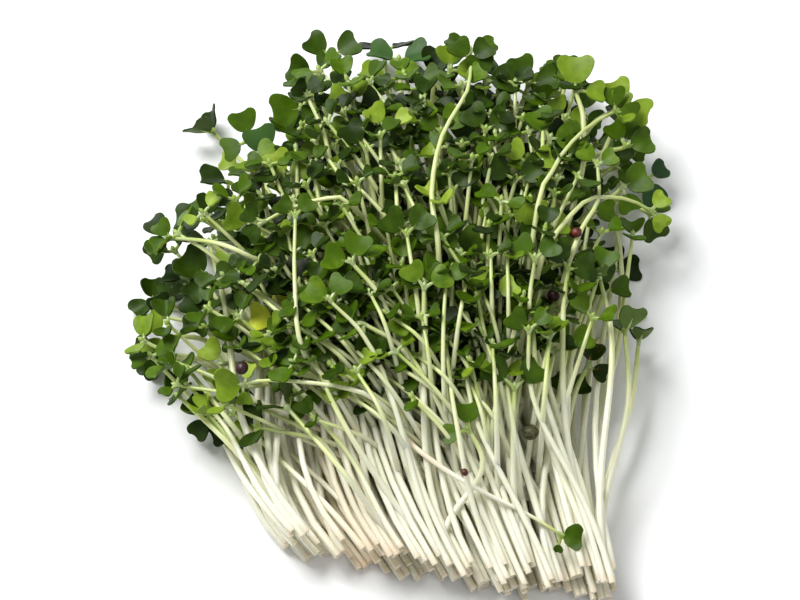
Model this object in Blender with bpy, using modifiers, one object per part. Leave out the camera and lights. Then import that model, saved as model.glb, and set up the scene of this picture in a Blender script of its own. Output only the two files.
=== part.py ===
"""Bunch of cut microgreens lying on a flat surface.

Ninety pale stems start in a row of small clumps at the near, cut side and fan out over a
canopy of heart-shaped seed leaves. Each clump is one solid: its stems are fused where they press
together at the cut. Clumps keep a small gap from each other. Four shed seed coats lie in the
canopy. Lengths in the tables are millimetres and are turned into metres as objects are made.
"""

import math
import random

import bmesh
import bpy
from mathutils import Matrix, Vector, kdtree

MM = 0.001

# Driving sizes, in millimetres
STEM_BASE_RADIUS = 0.98
STEM_TIP_RADIUS = 0.74
BLADE_THICKNESS = 0.62
BLADE_LENGTH_RATIO = 0.80
NECK_HALF_WIDTH = 0.40
NECK_SINK = 0.35
LEAST_PARTING = 92.0
CLEARANCE = 0.34
OWN_CLUMP_GAP = -0.9
STEM_SAFE_RADIUS = 0.80
BLADE_SAFE_RADIUS = 0.58
SAMPLE_STEP = 1.1
LOWEST_SAMPLE = 0.25
LOWEST_STEM = STEM_BASE_RADIUS * 0.66
SETTLING = 0.16
MODEL_SHIFT_Y = 4.8

# The row of cut ends
COLUMNS = 12
ROWS = 3
COLUMN_PITCH = 4.5
ROW_PITCH = 3.2
FIRST_COLUMN_X = -9.0
FIRST_ROW_Z = 1.25
CUT_LINE_Y = -66.0
ROW_LIFTS = (0.5, 6.0, 12.0)
STEMS_PER_CLUMP = 4
LEFT_HEADING = -44.0
RIGHT_HEADING = -15.0
SLOT_OFFSETS = ((-0.6, -0.55), (0.62, -0.5), (-0.57, 0.56), (0.64, 0.6))
SLOT_SPREAD = (0.06, 0.025)
FUSED_LENGTH = 18.0

# The bunch's edges, as (y, x) from the cut ends to the far leaves
LEFT_EDGE = ((-62.0, -9.0), (-25.0, -42.0), (60.0, -42.0))
RIGHT_EDGE = ((-62.0, 40.0), (-25.0, 32.0), (0.0, 38.0), (30.0, 50.0), (60.0, 50.0))

# Heads are placed in a plane tilted to the surface by this angle, so that the canopy can be
# laid out as it is seen from above and in front.
VIEW_TILT = math.radians(65.0)
LYING_HEIGHT = 0.3
LEVEL_SHARES = (0.22, 0.5, 0.75, 0.95)
SEED = 4107
FILLERS = 200
MOST_SPROUTS = 90
HERO_TRIES = 2000
FILLER_TRIES = 700

LEAF_GREENS = ((0.22, 0.388, 0.10), (0.22, 0.394, 0.10), (0.22, 0.40, 0.10))
SEED_COAT_BROWN = (0.16, 0.05, 0.03)

RIGHT = Vector((1.0, 0.0, 0.0))
UP = Vector((0.0, math.sin(VIEW_TILT), math.cos(VIEW_TILT)))
FACING = Vector((0.0, -math.cos(VIEW_TILT), math.sin(VIEW_TILT)))

# Each row: head junction (u, v), level 0 low to 3 top or -1 for lying on the surface, a point
# (u, v) that its stem passes, then for each of the two blades its centre (u, v), its width and
# its turn from facing upwards.
HEADS = (
    (-20.0, 36.0, -1, -14.0, 26.0, (-25.0, 38.0, 7, 0), (-19.0, 41.0, 7, 0)),
    (8.0, 41.0, -1, 8.0, 31.0, (4.0, 44.0, 7, 0), (12.2, 44.0, 7, 0)),
    (33.0, 36.0, -1, 29.0, 26.0, (31.0, 41.0, 7, 0), (38.0, 37.5, 7, 0)),
    (-42.0, 4.0, -1, -33.0, 0.0, (-47.0, 2.4, 7, 0), (-44.0, 8.4, 7, 0)),
    (43.0, 6.0, -1, 38.0, -3.0, (42.2, 11.0, 7, 0), (48.0, 6.6, 7, 0)),
    (33.0, -9.5, 2, 32.0, -16.0, (31.4, -6.2, 6, 10), (36.4, -7.4, 6, 10)),
    (37.0, -13.0, 1, 34.5, -19.0, (38.8, -9.8, 6, 10), (40.2, -14.0, 5, 20)),
    (33.5, -18.5, 1, 33.0, -25.0, (31.4, -15.8, 5, 10), (36.4, -17.0, 5, 20)),
    (38.0, 0.0, 2, 35.0, -6.0, (34.8, 1.6, 6, 10), (39.6, 3.0, 5, 20)),
    (41.0, 1.8, 1, 39.0, -5.0, (40.6, 5.7, 7, 30), (44.6, 2.6, 6, 40)),
    (50.0, 24.5, 1, 45.0, 27.0, (53.0, 26.4, 5, 10), (51.5, 20.8, 7, 20)),
    (-9.5, -21.0, 1, -3.0, -24.0, (-12.9, -21.4, 5, 50), (-9.4, -17.6, 5, 30)),
    (14.0, -12.5, 2, 17.0, -18.0, (11.2, -10.6, 6, 10), (15.8, -9.0, 5, 20)),
    (-20.0, 3.0, 2, -12.0, -1.0, (-24.4, 3.6, 8, 40), (-20.0, 7.2, 7, 20)),
    (10.0, 8.5, 3, 10.5, 0.0, (8.0, 14.0, 8, 10), (13.5, 12.5, 8, 10)),
    (21.7, 16.5, 3, 20.5, 7.0, (18.3, 18.5, 7, 5), (25.2, 17.5, 7, 5)),
    (33.0, 6.0, 3, 32.0, -3.0, (31.0, 10.0, 7, 10), (36.8, 6.6, 7, 10)),
    (45.5, 39.2, 3, 38.5, 35.0, (43.8, 42.8, 7, 5), (48.9, 38.0, 7, 5)),
    (35.5, 42.0, 3, 37.0, 37.0, (36.0, 47.0, 9, 5), (40.0, 42.2, 6, 40)),
    (22.3, -17.5, 3, 22.0, -26.0, (19.2, -13.0, 7, 5), (25.2, -13.3, 7, 5)),
    (-9.5, 7.5, 3, -4.0, 1.0, (-13.5, 8.8, 7, 10), (-8.6, 11.6, 7, 10)),
    (-7.0, -4.8, 3, 0.0, -9.0, (-11.0, -4.0, 7, 10), (-6.5, -8.8, 6, 20)),
    (-7.0, 30.0, 3, -5.5, 21.0, (-9.8, 34.0, 7, 10), (-3.6, 32.6, 6, 20)),
    (-2.8, 34.0, 3, -0.5, 26.0, (-5.0, 37.8, 6, 20), (0.4, 37.0, 5, 30)),
    (18.0, 0.0, 3, 18.7, -9.0, (16.0, 4.2, 7, 10), (21.2, 3.0, 6, 20)),
    (13.5, -25.5, 3, 16.0, -31.0, (12.0, -21.8, 6, 10), (9.6, -25.0, 5, 20)),
    (10.5, 21.5, 3, 11.0, 15.0, (12.8, 25.3, 7, 10), (7.4, 24.0, 6, 30)),
    (4.5, 2.0, 3, 4.5, -6.0, (2.8, 5.8, 6, 10), (7.8, 4.8, 6, 10)),
    (-31.5, 3.5, 3, -25.0, 1.0, (-35.0, 5.8, 7, 10), (-31.0, 8.0, 7, 20)),
    (-38.5, 4.7, 2, -33.0, 2.5, (-42.3, 7.2, 9, 5), (-41.5, 1.5, 6, 15)),
    (-30.8, -17.0, 2, -20.0, -16.0, (-34.6, -17.0, 6, 5), (-30.0, -13.4, 5, 40)),
    (-46.5, -7.0, 1, -39.0, -8.0, (-49.8, -4.6, 6, 5), (-49.5, -9.8, 7, 20)),
    (-46.5, 12.3, 1, -39.0, 11.8, (-49.0, 15.3, 6, 20), (-49.5, 9.6, 6, 20)),
    (-38.7, 15.9, 1, -33.0, 12.0, (-43.0, 16.3, 8, 20), (-38.0, 19.8, 6, 20)),
    (-30.2, 31.8, 2, -24.0, 27.0, (-32.5, 35.8, 7, 10), (-34.6, 31.0, 6, 20)),
    (-27.0, 28.5, 2, -22.0, 21.0, (-28.5, 33.0, 8, 10), (-22.9, 29.0, 7, 30)),
    (-19.5, 38.5, 2, -15.0, 30.0, (-23.8, 37.8, 9, 10), (-18.0, 42.4, 6, 40)),
    (-16.5, 45.5, 2, -15.0, 38.0, (-15.0, 49.0, 5, 30), (-21.0, 47.0, 7, 10)),
    (-13.8, 49.5, 2, -12.0, 40.0, (-17.4, 52.2, 7, 20), (-10.0, 52.0, 7, 20)),
    (-2.5, 44.5, 2, -1.5, 37.0, (-6.4, 46.2, 8, 65), (1.8, 46.0, 8, 65)),
    (-9.7, 39.6, 2, -7.5, 34.0, (-13.0, 41.2, 6, 10), (-8.6, 43.2, 6, 40)),
    (-13.0, 30.3, 2, -9.0, 23.0, (-16.8, 32.3, 8, 10), (-11.3, 34.6, 7, 20)),
    (0.0, 49.0, 1, 0.5, 42.0, (-4.3, 50.8, 8, 50), (4.3, 50.2, 8, 50)),
    (7.0, 45.5, 1, 6.5, 38.0, (7.0, 49.8, 8, 10), (3.0, 46.8, 6, 30)),
    (10.0, 46.5, 2, 9.0, 39.0, (10.6, 50.2, 6, 10), (13.8, 47.6, 6, 30)),
    (14.3, 50.5, 2, 13.5, 42.0, (11.0, 52.8, 6, 40), (18.0, 52.2, 6, 40)),
    (17.0, 44.0, 2, 15.0, 34.5, (16.8, 48.2, 7, 10), (21.3, 45.4, 8, 20)),
    (13.0, 31.0, 1, 13.0, 24.0, (13.0, 35.2, 7, 10), (17.0, 32.0, 6, 20)),
    (26.0, 43.5, 2, 24.0, 37.0, (25.0, 48.0, 7, 10), (30.2, 45.2, 7, 20)),
    (33.0, 43.0, 1, 30.0, 37.0, (31.3, 46.8, 7, 50), (36.6, 44.6, 6, 50)),
    (25.5, 41.5, 2, 22.0, 33.0, (22.2, 43.6, 6, 20), (29.0, 40.6, 7, 10)),
    (33.0, 36.5, 2, 30.0, 31.5, (31.6, 39.8, 5, 10), (36.2, 37.0, 5, 10)),
    (29.8, 32.0, 2, 26.5, 22.0, (27.8, 36.4, 7, 10), (34.2, 32.4, 8, 10)),
    (45.5, 31.0, 2, 39.0, 29.0, (43.4, 34.6, 6, 30), (49.2, 32.2, 7, 10)),
    (44.0, 29.0, 1, 38.0, 26.0, (45.6, 25.6, 7, 40), (41.2, 31.6, 6, 20)),
    (44.5, 22.8, 2, 38.0, 16.0, (48.4, 24.2, 8, 10), (46.4, 19.4, 6, 20)),
    (50.0, 17.5, 1, 44.0, 20.0, (51.6, 13.8, 7, 20), (53.0, 18.9, 5, 40)),
    (22.8, 24.0, 2, 20.5, 14.0, (19.0, 26.6, 7, 10), (26.6, 26.0, 7, 10)),
    (35.0, 23.5, 2, 34.5, 15.0, (33.8, 27.8, 7, 10), (38.6, 24.6, 5, 30)),
    (28.5, 14.0, 2, 27.0, 5.0, (27.2, 18.0, 6, 10), (32.0, 15.4, 6, 20)),
    (-31.5, 27.0, 1, -25.0, 23.0, (-35.0, 28.2, 5, 10), (-31.2, 23.6, 5, 50)),
    (-34.5, 24.0, 1, -28.0, 20.0, (-38.3, 25.0, 8, 60), (-35.2, 20.4, 6, 30)),
    (-38.0, 11.0, 2, -36.0, 3.5, (-41.8, 12.6, 7, 60), (-34.4, 13.2, 6, 60)),
    (-49.9, -0.3, 0, -44.0, -2.0, (-50.0, 3.0, 6, 10), (-52.6, -1.8, 6, 30)),
    (-46.0, -12.0, 0, -39.0, -12.0, (-49.6, -13.6, 7, 10), (-45.6, -15.8, 6, 20)),
    (-38.5, -2.0, 1, -32.0, -3.5, (-42.2, -1.0, 7, 20), (-41.0, -5.2, 5, 20)),
    (-24.5, -4.0, 2, -18.0, -6.0, (-28.2, -2.8, 7, 20), (-24.4, 0.0, 5, 30)),
    (-25.5, -10.3, 2, -18.0, -12.0, (-24.4, -6.8, 6, 10), (-29.2, -10.0, 6, 20)),
    (-34.5, -12.5, 1, -28.0, -13.0, (-38.4, -11.0, 6, 10), (-37.6, -14.6, 5, 10)),
    (-21.5, -14.0, 2, -14.0, -16.0, (-23.6, -11.0, 6, 10), (-24.8, -15.8, 5, 20)),
    (2.5, -9.0, 2, 6.0, -14.0, (3.6, -5.4, 6, 10), (-1.0, -8.6, 5, 30)),
    (-16.5, 17.0, 2, -11.0, 10.0, (-14.8, 20.6, 5, 30), (-20.2, 17.8, 6, 20)),
    (-36.5, -22.0, 0, -29.0, -22.0, (-40.2, -20.2, 7, 10), (-39.6, -24.4, 6, 20)),
    (-33.0, -25.0, 0, -27.0, -24.0, (-36.2, -26.8, 6, 10), (-31.8, -28.6, 5, 20)),
    (-27.0, -26.0, 1, -20.0, -25.5, (-30.4, -27.0, 6, 10), (-27.4, -29.4, 5, 10)),
    (-22.5, -23.5, 1, -16.0, -24.0, (-25.8, -21.0, 6, 10), (-26.0, -25.6, 5, 10)),
)

# Seed coats: (u, v), height, the three diameters
SEED_COATS = (
    (35.0, 13.4, 17.0, 2.6, 2.2, 2.0),
    (25.7, -26.0, 12.0, 3.4, 3.2, 2.8),
    (30.5, 1.0, 19.0, 3.0, 2.6, 2.4),
    (-31.0, -13.3, 10.0, 3.0, 2.6, 2.4),
)


def world(u, v, z):
    """The point at height z that lies at (u, v) in the tilted plane."""
    return Vector((u, (v - z * math.cos(VIEW_TILT)) / math.sin(VIEW_TILT), z))


def canopy_height(u, v):
    """Height of the canopy's top over the surface at (u, v)."""
    across = 1.0 - min(1.0, abs(u / 62.0)) ** 2.2
    along = 1.0 - min(1.0, abs((v - 10.0) / 50.0)) ** 2.5
    return 6.5 + 25.0 * max(0.0, across) * max(0.0, along)


def slot_base(column, row, rng):
    """Centre of a clump's cut end and its starting direction."""
    share = column / (COLUMNS - 1)
    heading = math.radians(LEFT_HEADING + (RIGHT_HEADING - LEFT_HEADING) * share)
    lift = math.radians(ROW_LIFTS[row])
    stagger = rng.uniform(0.0, 5.0) + 20.0 * max(0.0, 0.55 - share)
    start = Vector((
        FIRST_COLUMN_X + COLUMN_PITCH * column,
        CUT_LINE_Y,
        FIRST_ROW_Z + ROW_PITCH * row,
    ))
    aim = Vector((
        math.sin(heading) * math.cos(lift),
        math.cos(heading) * math.cos(lift),
        math.sin(lift),
    ))
    return start + aim * stagger, aim


def bezier(a, b, c, d, count):
    """count points after a on the cubic curve with these four handles."""
    found = []
    for i in range(1, count + 1):
        t = i / count
        s = 1.0 - t
        found.append(a * s ** 3 + b * (3 * s * s * t) + c * (3 * s * t * t) + d * t ** 3)
    return found


def stem_route(base, aim, passed, joint, first, second):
    """Corner points of a stem from its cut end through a passed point to its head."""
    near = (passed - base).length
    far = (joint - passed).length
    through = ((joint - passed).normalized() * 0.65 + (passed - base).normalized() * 0.35).normalized()
    arrive = ((joint - passed).normalized() * 0.8 + through * 0.2).normalized()
    points = [base.copy()]
    points += bezier(base, base + aim * near * first, passed - through * near * 0.3, passed, 4)
    points += bezier(passed, passed + through * far * second, joint - arrive * far * 0.3, joint, 2)
    for point in points:
        point.z = max(point.z, LOWEST_STEM)
    return points


def blade_frame(along, normal):
    """Across, along and normal of a blade, square to each other."""
    along = along.normalized()
    across = along.cross(normal).normalized()
    return across, along, across.cross(along)


def aimed_blade(joint_uv, blade, lying):
    """A blade's frame and sizes from its centre as laid out in the tilted plane."""
    du = blade[0] - joint_uv[0]
    dv = blade[1] - joint_uv[1]
    width = blade[2]
    length = width * BLADE_LENGTH_RATIO
    seen = math.hypot(du, dv)
    reach = max(seen, 0.9 + length * 0.5)
    if lying:
        flat_way = Vector((du, dv / math.sin(VIEW_TILT), 0.0))
        across, along, normal = blade_frame(flat_way, Vector((0.0, 0.0, 1.0)))
        return (across, along, normal, width, length, 1.0)
    depth = min(math.sqrt(max(0.0, reach * reach - seen * seen)), 0.75 * reach)
    along = RIGHT * du + UP * dv + FACING * depth
    across, along, normal = blade_frame(along, FACING)
    turn = Matrix.Rotation(math.radians(blade[3]) * (1.0 if du < 0 else -1.0), 3, along)
    across, along, normal = blade_frame(along, turn @ normal)
    return (across, along, normal, width, length, max(0.7, reach - length * 0.5))


def parted(joint_uv, first, second):
    """The two blades turned away from each other in the tilted plane until they can't overlap."""
    angles = [math.atan2(b[1] - joint_uv[1], b[0] - joint_uv[0]) for b in (first, second)]
    apart = (angles[1] - angles[0] + math.pi) % (2.0 * math.pi) - math.pi
    lack = max(0.0, math.radians(LEAST_PARTING) - abs(apart)) * 0.5
    side = 1.0 if apart > 0 else -1.0
    found = []
    for blade, angle, way in ((first, angles[0], -side), (second, angles[1], side)):
        reach = math.hypot(blade[0] - joint_uv[0], blade[1] - joint_uv[1])
        angle += way * lack
        centre = (joint_uv[0] + reach * math.cos(angle), joint_uv[1] + reach * math.sin(angle))
        found.append((*centre, *blade[2:]))
    return found


def open_blades(stem_end, spread, angle, width, second_width):
    """Two blades that open from the end of a stem by an angle to its axis."""
    found = []
    for side, size in ((1.0, width), (-1.0, second_width)):
        along = stem_end * math.cos(angle) + spread * (side * math.sin(angle))
        normal = stem_end * math.sin(angle) - spread * (side * math.cos(angle))
        across, along, normal = blade_frame(along, normal)
        found.append((across, along, normal, size, size * BLADE_LENGTH_RATIO, 1.0))
    return found


def blade_points(joint, blade, fold):
    """The outline of one blade, from its right shoulder round the notch to its left shoulder."""
    across, along, normal, width, length, neck = blade
    shape = ((0.46, 0.24), (0.37, 0.98), (0.0, 0.84), (-0.37, 0.98), (-0.46, 0.24))
    return [
        joint + across * (x * width) + along * (neck + y * length) + normal * (abs(x) * width * fold)
        for x, y in shape
    ]


def blade_samples(joint, blade, fold):
    """Points spread over a blade, for the clearance test."""
    across, along, normal, width, length, neck = blade
    found = [joint]
    steps = max(1, math.ceil(neck / SAMPLE_STEP))
    found += [joint + along * (neck * (i + 1) / steps) for i in range(steps)]
    rows = max(2, math.ceil(length / SAMPLE_STEP))
    for i in range(rows + 1):
        y = i / rows
        half = width * min(0.5, 0.30 + 0.42 * y) * (1.0 if y < 0.75 else 1.0 - 1.1 * (y - 0.75))
        columns = max(1, math.ceil(2 * half / SAMPLE_STEP))
        for j in range(columns + 1):
            x = half * (2.0 * j / columns - 1.0)
            found.append(joint + across * x + along * (neck + y * length) + normal * (abs(x) * fold))
    return found


def stem_samples(points):
    """Points spread along a stem, for the clearance test."""
    found = []
    for a, b in zip(points, points[1:]):
        steps = max(1, math.ceil((b - a).length / SAMPLE_STEP))
        found += [a.lerp(b, i / steps) for i in range(steps)]
    return found


class Crowd:
    """The space that placed sprouts fill, and the test that a new one keeps clear of it."""

    def __init__(self):
        self.entries = []
        self.tree = None

    def add(self, samples, clump, base):
        """Takes up the space of a placed sprout's samples."""
        for point, radius in samples:
            self.entries.append((point, radius, clump, (point - base).length > FUSED_LENGTH))
        self.tree = kdtree.KDTree(len(self.entries))
        for i, entry in enumerate(self.entries):
            self.tree.insert(entry[0], i)
        self.tree.balance()

    def clear(self, samples, clump):
        """True when a sprout of this clump would keep its distance from every placed one."""
        if self.tree is None:
            return True
        for point, radius in samples:
            reach = radius + STEM_SAFE_RADIUS + CLEARANCE
            for _, index, distance in self.tree.find_range(point, reach):
                _, other_radius, other_clump, loose = self.entries[index]
                gap = CLEARANCE if other_clump != clump else OWN_CLUMP_GAP
                if distance < radius + other_radius + gap and (other_clump != clump or loose):
                    return False
        return True


def sprout_samples(sprout):
    """All test points of a sprout, the roomy leaf ends first as they fail soonest."""
    found = []
    for blade in sprout["blades"]:
        found += [(p, BLADE_SAFE_RADIUS) for p in blade_samples(sprout["joint"], blade, sprout["fold"])]
    found += [(p, STEM_SAFE_RADIUS) for p in reversed(stem_samples(sprout["points"]))]
    return found


def low_enough(samples):
    """True when nothing sinks under the surface."""
    return all(point.z > LOWEST_SAMPLE for point, _ in samples)


def along_table(table, y):
    """The value at y on the line through (y, value) pairs."""
    for (y0, value0), (y1, value1) in zip(table, table[1:]):
        if y <= y1:
            return value0 + (value1 - value0) * max(0.0, (y - y0) / (y1 - y0))
    return table[-1][1]


def suited_column(passed):
    """The column whose stems fan out to where this point lies between the bunch's two edges."""
    left = along_table(LEFT_EDGE, passed.y)
    right = along_table(RIGHT_EDGE, passed.y)
    share = (passed.x - left) / (right - left)
    return round(min(1.0, max(0.0, share)) * (COLUMNS - 1))


def try_sprout(crowd, bases, taken, rng, joint, passed, blades, row, lying=False):
    """One attempt: a free place near the right column, and a sprout from it that keeps clear."""
    column = suited_column(passed) + rng.choice((0, 0, 0, -1, 1, -1, 1, -2, 2))
    clump = (min(COLUMNS - 1, max(0, column)), row)
    free = [k for k in range(STEMS_PER_CLUMP) if (clump, k) not in taken]
    if not free:
        return None
    place = rng.choice(free)
    base, aim = bases[clump]
    side = aim.cross(Vector((0.0, 0.0, 1.0))).normalized()
    dx, dz = SLOT_OFFSETS[place]
    rise = side.cross(aim)
    start = base + side * dx + rise * dz
    aim = (aim + side * (dx * SLOT_SPREAD[0]) + rise * (dz * SLOT_SPREAD[1])).normalized()
    points = stem_route(start, aim, passed, joint, rng.uniform(0.35, 0.55), rng.uniform(0.25, 0.45))
    sprout = {
        "clump": clump,
        "place": place,
        "points": points,
        "joint": joint.copy() if lying else points[-1],
        "blades": blades,
        "fold": 0.0 if lying else rng.uniform(-0.05, 0.3),
    }
    samples = sprout_samples(sprout)
    if not low_enough(samples) or not crowd.clear(samples, clump):
        return None
    crowd.add(samples, clump, base)
    taken.add((clump, place))
    return sprout


def likely_row(height, rng):
    """A row of cut ends: mostly one that suits a stem passing at this height, now and then any."""
    if rng.random() < 0.3:
        return rng.randrange(ROWS)
    return min(ROWS - 1, max(0, int(height / 8.0 + rng.uniform(-0.6, 0.9))))


def place_head(crowd, bases, taken, rng, head):
    """Places one laid-out head, at the first height and route that are clear."""
    u, v, level, pass_u, pass_v, first, second = head
    for attempt in range(HERO_TRIES):
        loose = 0.2 + 2.2 * attempt / HERO_TRIES
        shift_u = rng.uniform(-loose, loose)
        shift_v = rng.uniform(-loose, loose)
        share = LEVEL_SHARES[max(0, level)] + rng.uniform(-0.2, 0.12)
        height = max(1.2, canopy_height(u, v) * share) if level >= 0 else LYING_HEIGHT
        fall = math.hypot(pass_u - u, pass_v - v) * rng.uniform(0.15, 0.6)
        pass_height = max(0.65 + 2.0 * max(0, level) * rng.random(), height - fall)
        joint = world(u + shift_u, v + shift_v, height)
        passed = world(pass_u + shift_u, pass_v + shift_v, pass_height)
        blades = [aimed_blade((u, v), blade, level < 0) for blade in parted((u, v), first, second)]
        row = likely_row(pass_height, rng) if level >= 0 else 0
        sprout = try_sprout(crowd, bases, taken, rng, joint, passed, blades, row, level < 0)
        if sprout:
            return sprout
    return None


def place_filler(crowd, bases, taken, rng):
    """Places one head at random under and round the laid-out ones."""
    for _ in range(FILLER_TRIES):
        u = rng.uniform(-48.0, 48.0)
        v = rng.uniform(-24.0, 46.0)
        top = canopy_height(u, v)
        height = top * rng.uniform(0.08, 0.95)
        if top < 10.0 and rng.random() < 0.5:
            continue
        joint = world(u, v, height)
        home = Vector((20.0 + 0.25 * u, CUT_LINE_Y + 8.0, 4.0))
        back = home - joint
        back.z = 0.0
        if back.length < 38.0:
            continue
        back = Matrix.Rotation(math.radians(rng.uniform(-22.0, 22.0)), 3, "Z") @ back.normalized()
        reach = rng.uniform(9.0, 16.0)
        passed = joint + back * reach
        passed.z = max(0.9, height - reach * rng.uniform(-0.1, 0.7))
        axis = (joint - passed).normalized()
        spread = axis.cross(Vector((rng.gauss(0, 1), rng.gauss(0, 1), rng.gauss(0, 1)))).normalized()
        axis = (axis + Vector((0.0, 0.0, rng.uniform(0.1, 0.9)))).normalized()
        spread = (spread - axis * spread.dot(axis)).normalized()
        width = rng.uniform(5.0, 8.0)
        opening = math.radians(rng.uniform(38.0, 80.0))
        blades = open_blades(axis, spread, opening, width, width * rng.uniform(0.75, 0.95))
        row = likely_row(passed.z, rng)
        sprout = try_sprout(crowd, bases, taken, rng, joint, passed, blades, row)
        if sprout:
            return sprout
    return None


def lay_out():
    """Every sprout of the bunch, in the order placed."""
    rng = random.Random(SEED)
    bases = {(c, r): slot_base(c, r, rng) for c in range(COLUMNS) for r in range(ROWS)}
    crowd = Crowd()
    for k, coat in enumerate(SEED_COATS):
        centre = world(*coat[:3])
        crowd.add([(centre, max(coat[3:]) * 0.5 + 0.2)], ("coat", k), centre)
    taken = set()
    sprouts = []
    missed = []
    for head in HEADS:
        sprout = place_head(crowd, bases, taken, rng, head)
        if sprout:
            sprouts.append(sprout)
        else:
            missed.append(head)
    print("heads placed", len(sprouts), "missed", len(missed), [h[:2] for h in missed])
    for _ in range(FILLERS):
        if len(sprouts) >= MOST_SPROUTS:
            break
        sprout = place_filler(crowd, bases, taken, rng)
        if sprout:
            sprouts.append(sprout)
    print("sprouts", len(sprouts), "clumps", len({s["clump"] for s in sprouts}))
    return sprouts


def plain_material(name, hue, roughness):
    """A matte colour for one kind of node."""
    material = bpy.data.materials.new(name)
    material.use_nodes = True
    shader = material.node_tree.nodes["Principled BSDF"]
    shader.inputs["Base Color"].default_value = (*hue, 1.0)
    shader.inputs["Roughness"].default_value = roughness
    shader.inputs["Metallic"].default_value = 0.0
    return material


def mesh_object(name, mesh, collection):
    """A new object of this mesh in the collection."""
    obj = bpy.data.objects.new(name, mesh)
    collection.objects.link(obj)
    return obj


def shift(point):
    """A laid-out point in the model's own frame, in metres."""
    return (point + Vector((0.0, MODEL_SHIFT_Y, 0.0))) * MM


def settled(mesh):
    """Sets flat on the surface what sinks into it or nearly meets it, all faces made triangles."""
    for vertex in mesh.vertices:
        if vertex.co.z < SETTLING * MM:
            vertex.co.z = 0.0
    faces = bmesh.new()
    faces.from_mesh(mesh)
    bmesh.ops.triangulate(faces, faces=faces.faces)
    faces.to_mesh(mesh)
    faces.free()
    return mesh


def stem_object(sprout, collection):
    """A stem: a four-sided tube along its route, tapering to the head."""
    points = list(sprout["points"])
    points[-1] = points[-1] + (points[-1] - points[-2]).normalized() * 0.1
    curve = bpy.data.curves.new("stem", "CURVE")
    curve.dimensions = "3D"
    curve.twist_mode = "Z_UP"
    curve.bevel_depth = MM
    curve.bevel_resolution = 0
    curve.use_fill_caps = True
    spline = curve.splines.new("POLY")
    spline.points.add(len(points) - 1)
    for i, (corner, point) in enumerate(zip(spline.points, points)):
        share = i / (len(points) - 1)
        corner.co = (*shift(point), 1.0)
        corner.radius = STEM_BASE_RADIUS + (STEM_TIP_RADIUS - STEM_BASE_RADIUS) * share
        corner.tilt = math.radians(45.0)
    guide = bpy.data.objects.new("stem_guide", curve)
    collection.objects.link(guide)
    mesh = bpy.data.meshes.new_from_object(guide.evaluated_get(bpy.context.evaluated_depsgraph_get()))
    bpy.data.objects.remove(guide)
    tube = bmesh.new()
    tube.from_mesh(mesh)
    bmesh.ops.remove_doubles(tube, verts=tube.verts, dist=1e-6)
    bmesh.ops.recalc_face_normals(tube, faces=tube.faces)
    tube.to_mesh(mesh)
    tube.free()
    return mesh_object("stem", settled(mesh), collection)


def blade_object(sprout, blade, collection):
    """One blade of a head with its neck, as a creased sheet, thickened."""
    across, along = blade[:2]
    root = sprout["joint"] - along * NECK_SINK
    sheet = bmesh.new()
    right = sheet.verts.new(shift(root + across * NECK_HALF_WIDTH))
    left = sheet.verts.new(shift(root - across * NECK_HALF_WIDTH))
    rim = [sheet.verts.new(shift(p)) for p in blade_points(sprout["joint"], blade, sprout["fold"])]
    notch = len(rim) // 2
    sheet.faces.new((right, *rim[:notch + 1]))
    sheet.faces.new((right, rim[notch], left))
    sheet.faces.new((*rim[notch:], left))
    bmesh.ops.recalc_face_normals(sheet, faces=sheet.faces)
    bmesh.ops.triangulate(sheet, faces=sheet.faces)
    mesh = bpy.data.meshes.new("blade")
    sheet.to_mesh(mesh)
    sheet.free()
    obj = mesh_object("blade", mesh, collection)
    solid = obj.modifiers.new("thickness", "SOLIDIFY")
    solid.thickness = BLADE_THICKNESS * MM
    solid.offset = 0.0
    settled(applied(obj).data)
    return obj


def applied(obj):
    """The object with its modifiers made into mesh."""
    mesh = bpy.data.meshes.new_from_object(obj.evaluated_get(bpy.context.evaluated_depsgraph_get()))
    obj.modifiers.clear()
    obj.data = mesh
    return obj


def outer_shell_only(mesh):
    """Fills pockets that a union closed in, by dropping every shell but the largest."""
    shells = bmesh.new()
    shells.from_mesh(mesh)
    waiting = set(shells.faces)
    found = []
    while waiting:
        front = [waiting.pop()]
        shell = list(front)
        while front:
            for edge in front.pop().edges:
                for face in edge.link_faces:
                    if face in waiting:
                        waiting.remove(face)
                        front.append(face)
                        shell.append(face)
        found.append(shell)
    found.sort(key=len)
    for shell in found[:-1]:
        print("dropped a shell of", len(shell), "faces from", mesh.name)
        bmesh.ops.delete(shells, geom=shell, context="FACES")
    shells.to_mesh(mesh)
    shells.free()


def fused(name, parts, collection):
    """One solid from overlapping parts."""
    helpers = bpy.data.collections.new(name + "_parts")
    bpy.context.scene.collection.children.link(helpers)
    for part in parts[1:]:
        collection.objects.unlink(part)
        helpers.objects.link(part)
    target = parts[0]
    union = target.modifiers.new("union", "BOOLEAN")
    union.operation = "UNION"
    union.solver = "MANIFOLD"
    union.operand_type = "COLLECTION"
    union.collection = helpers
    applied(target)
    target.name = name
    target.data.name = name
    outer_shell_only(target.data)
    for part in list(helpers.objects):
        bpy.data.objects.remove(part)
    bpy.data.collections.remove(helpers)
    return target


def seed_coat(index, coat, collection, material):
    """A shed seed coat: a rounded bead a little longer than wide."""
    bead = bmesh.new()
    bmesh.ops.create_icosphere(bead, subdivisions=1, radius=0.5)
    bmesh.ops.scale(bead, verts=bead.verts, vec=[d * MM for d in coat[3:]])
    turn = Matrix.Rotation(0.7 * index, 3, "Z")
    bmesh.ops.rotate(bead, verts=bead.verts, cent=(0, 0, 0), matrix=turn)
    bmesh.ops.translate(bead, verts=bead.verts, vec=shift(world(*coat[:3])))
    mesh = bpy.data.meshes.new("seed_coat")
    bead.to_mesh(mesh)
    bead.free()
    obj = mesh_object(f"seed_coat_{index + 1}", mesh, collection)
    obj.data.materials.append(material)
    return obj


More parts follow.
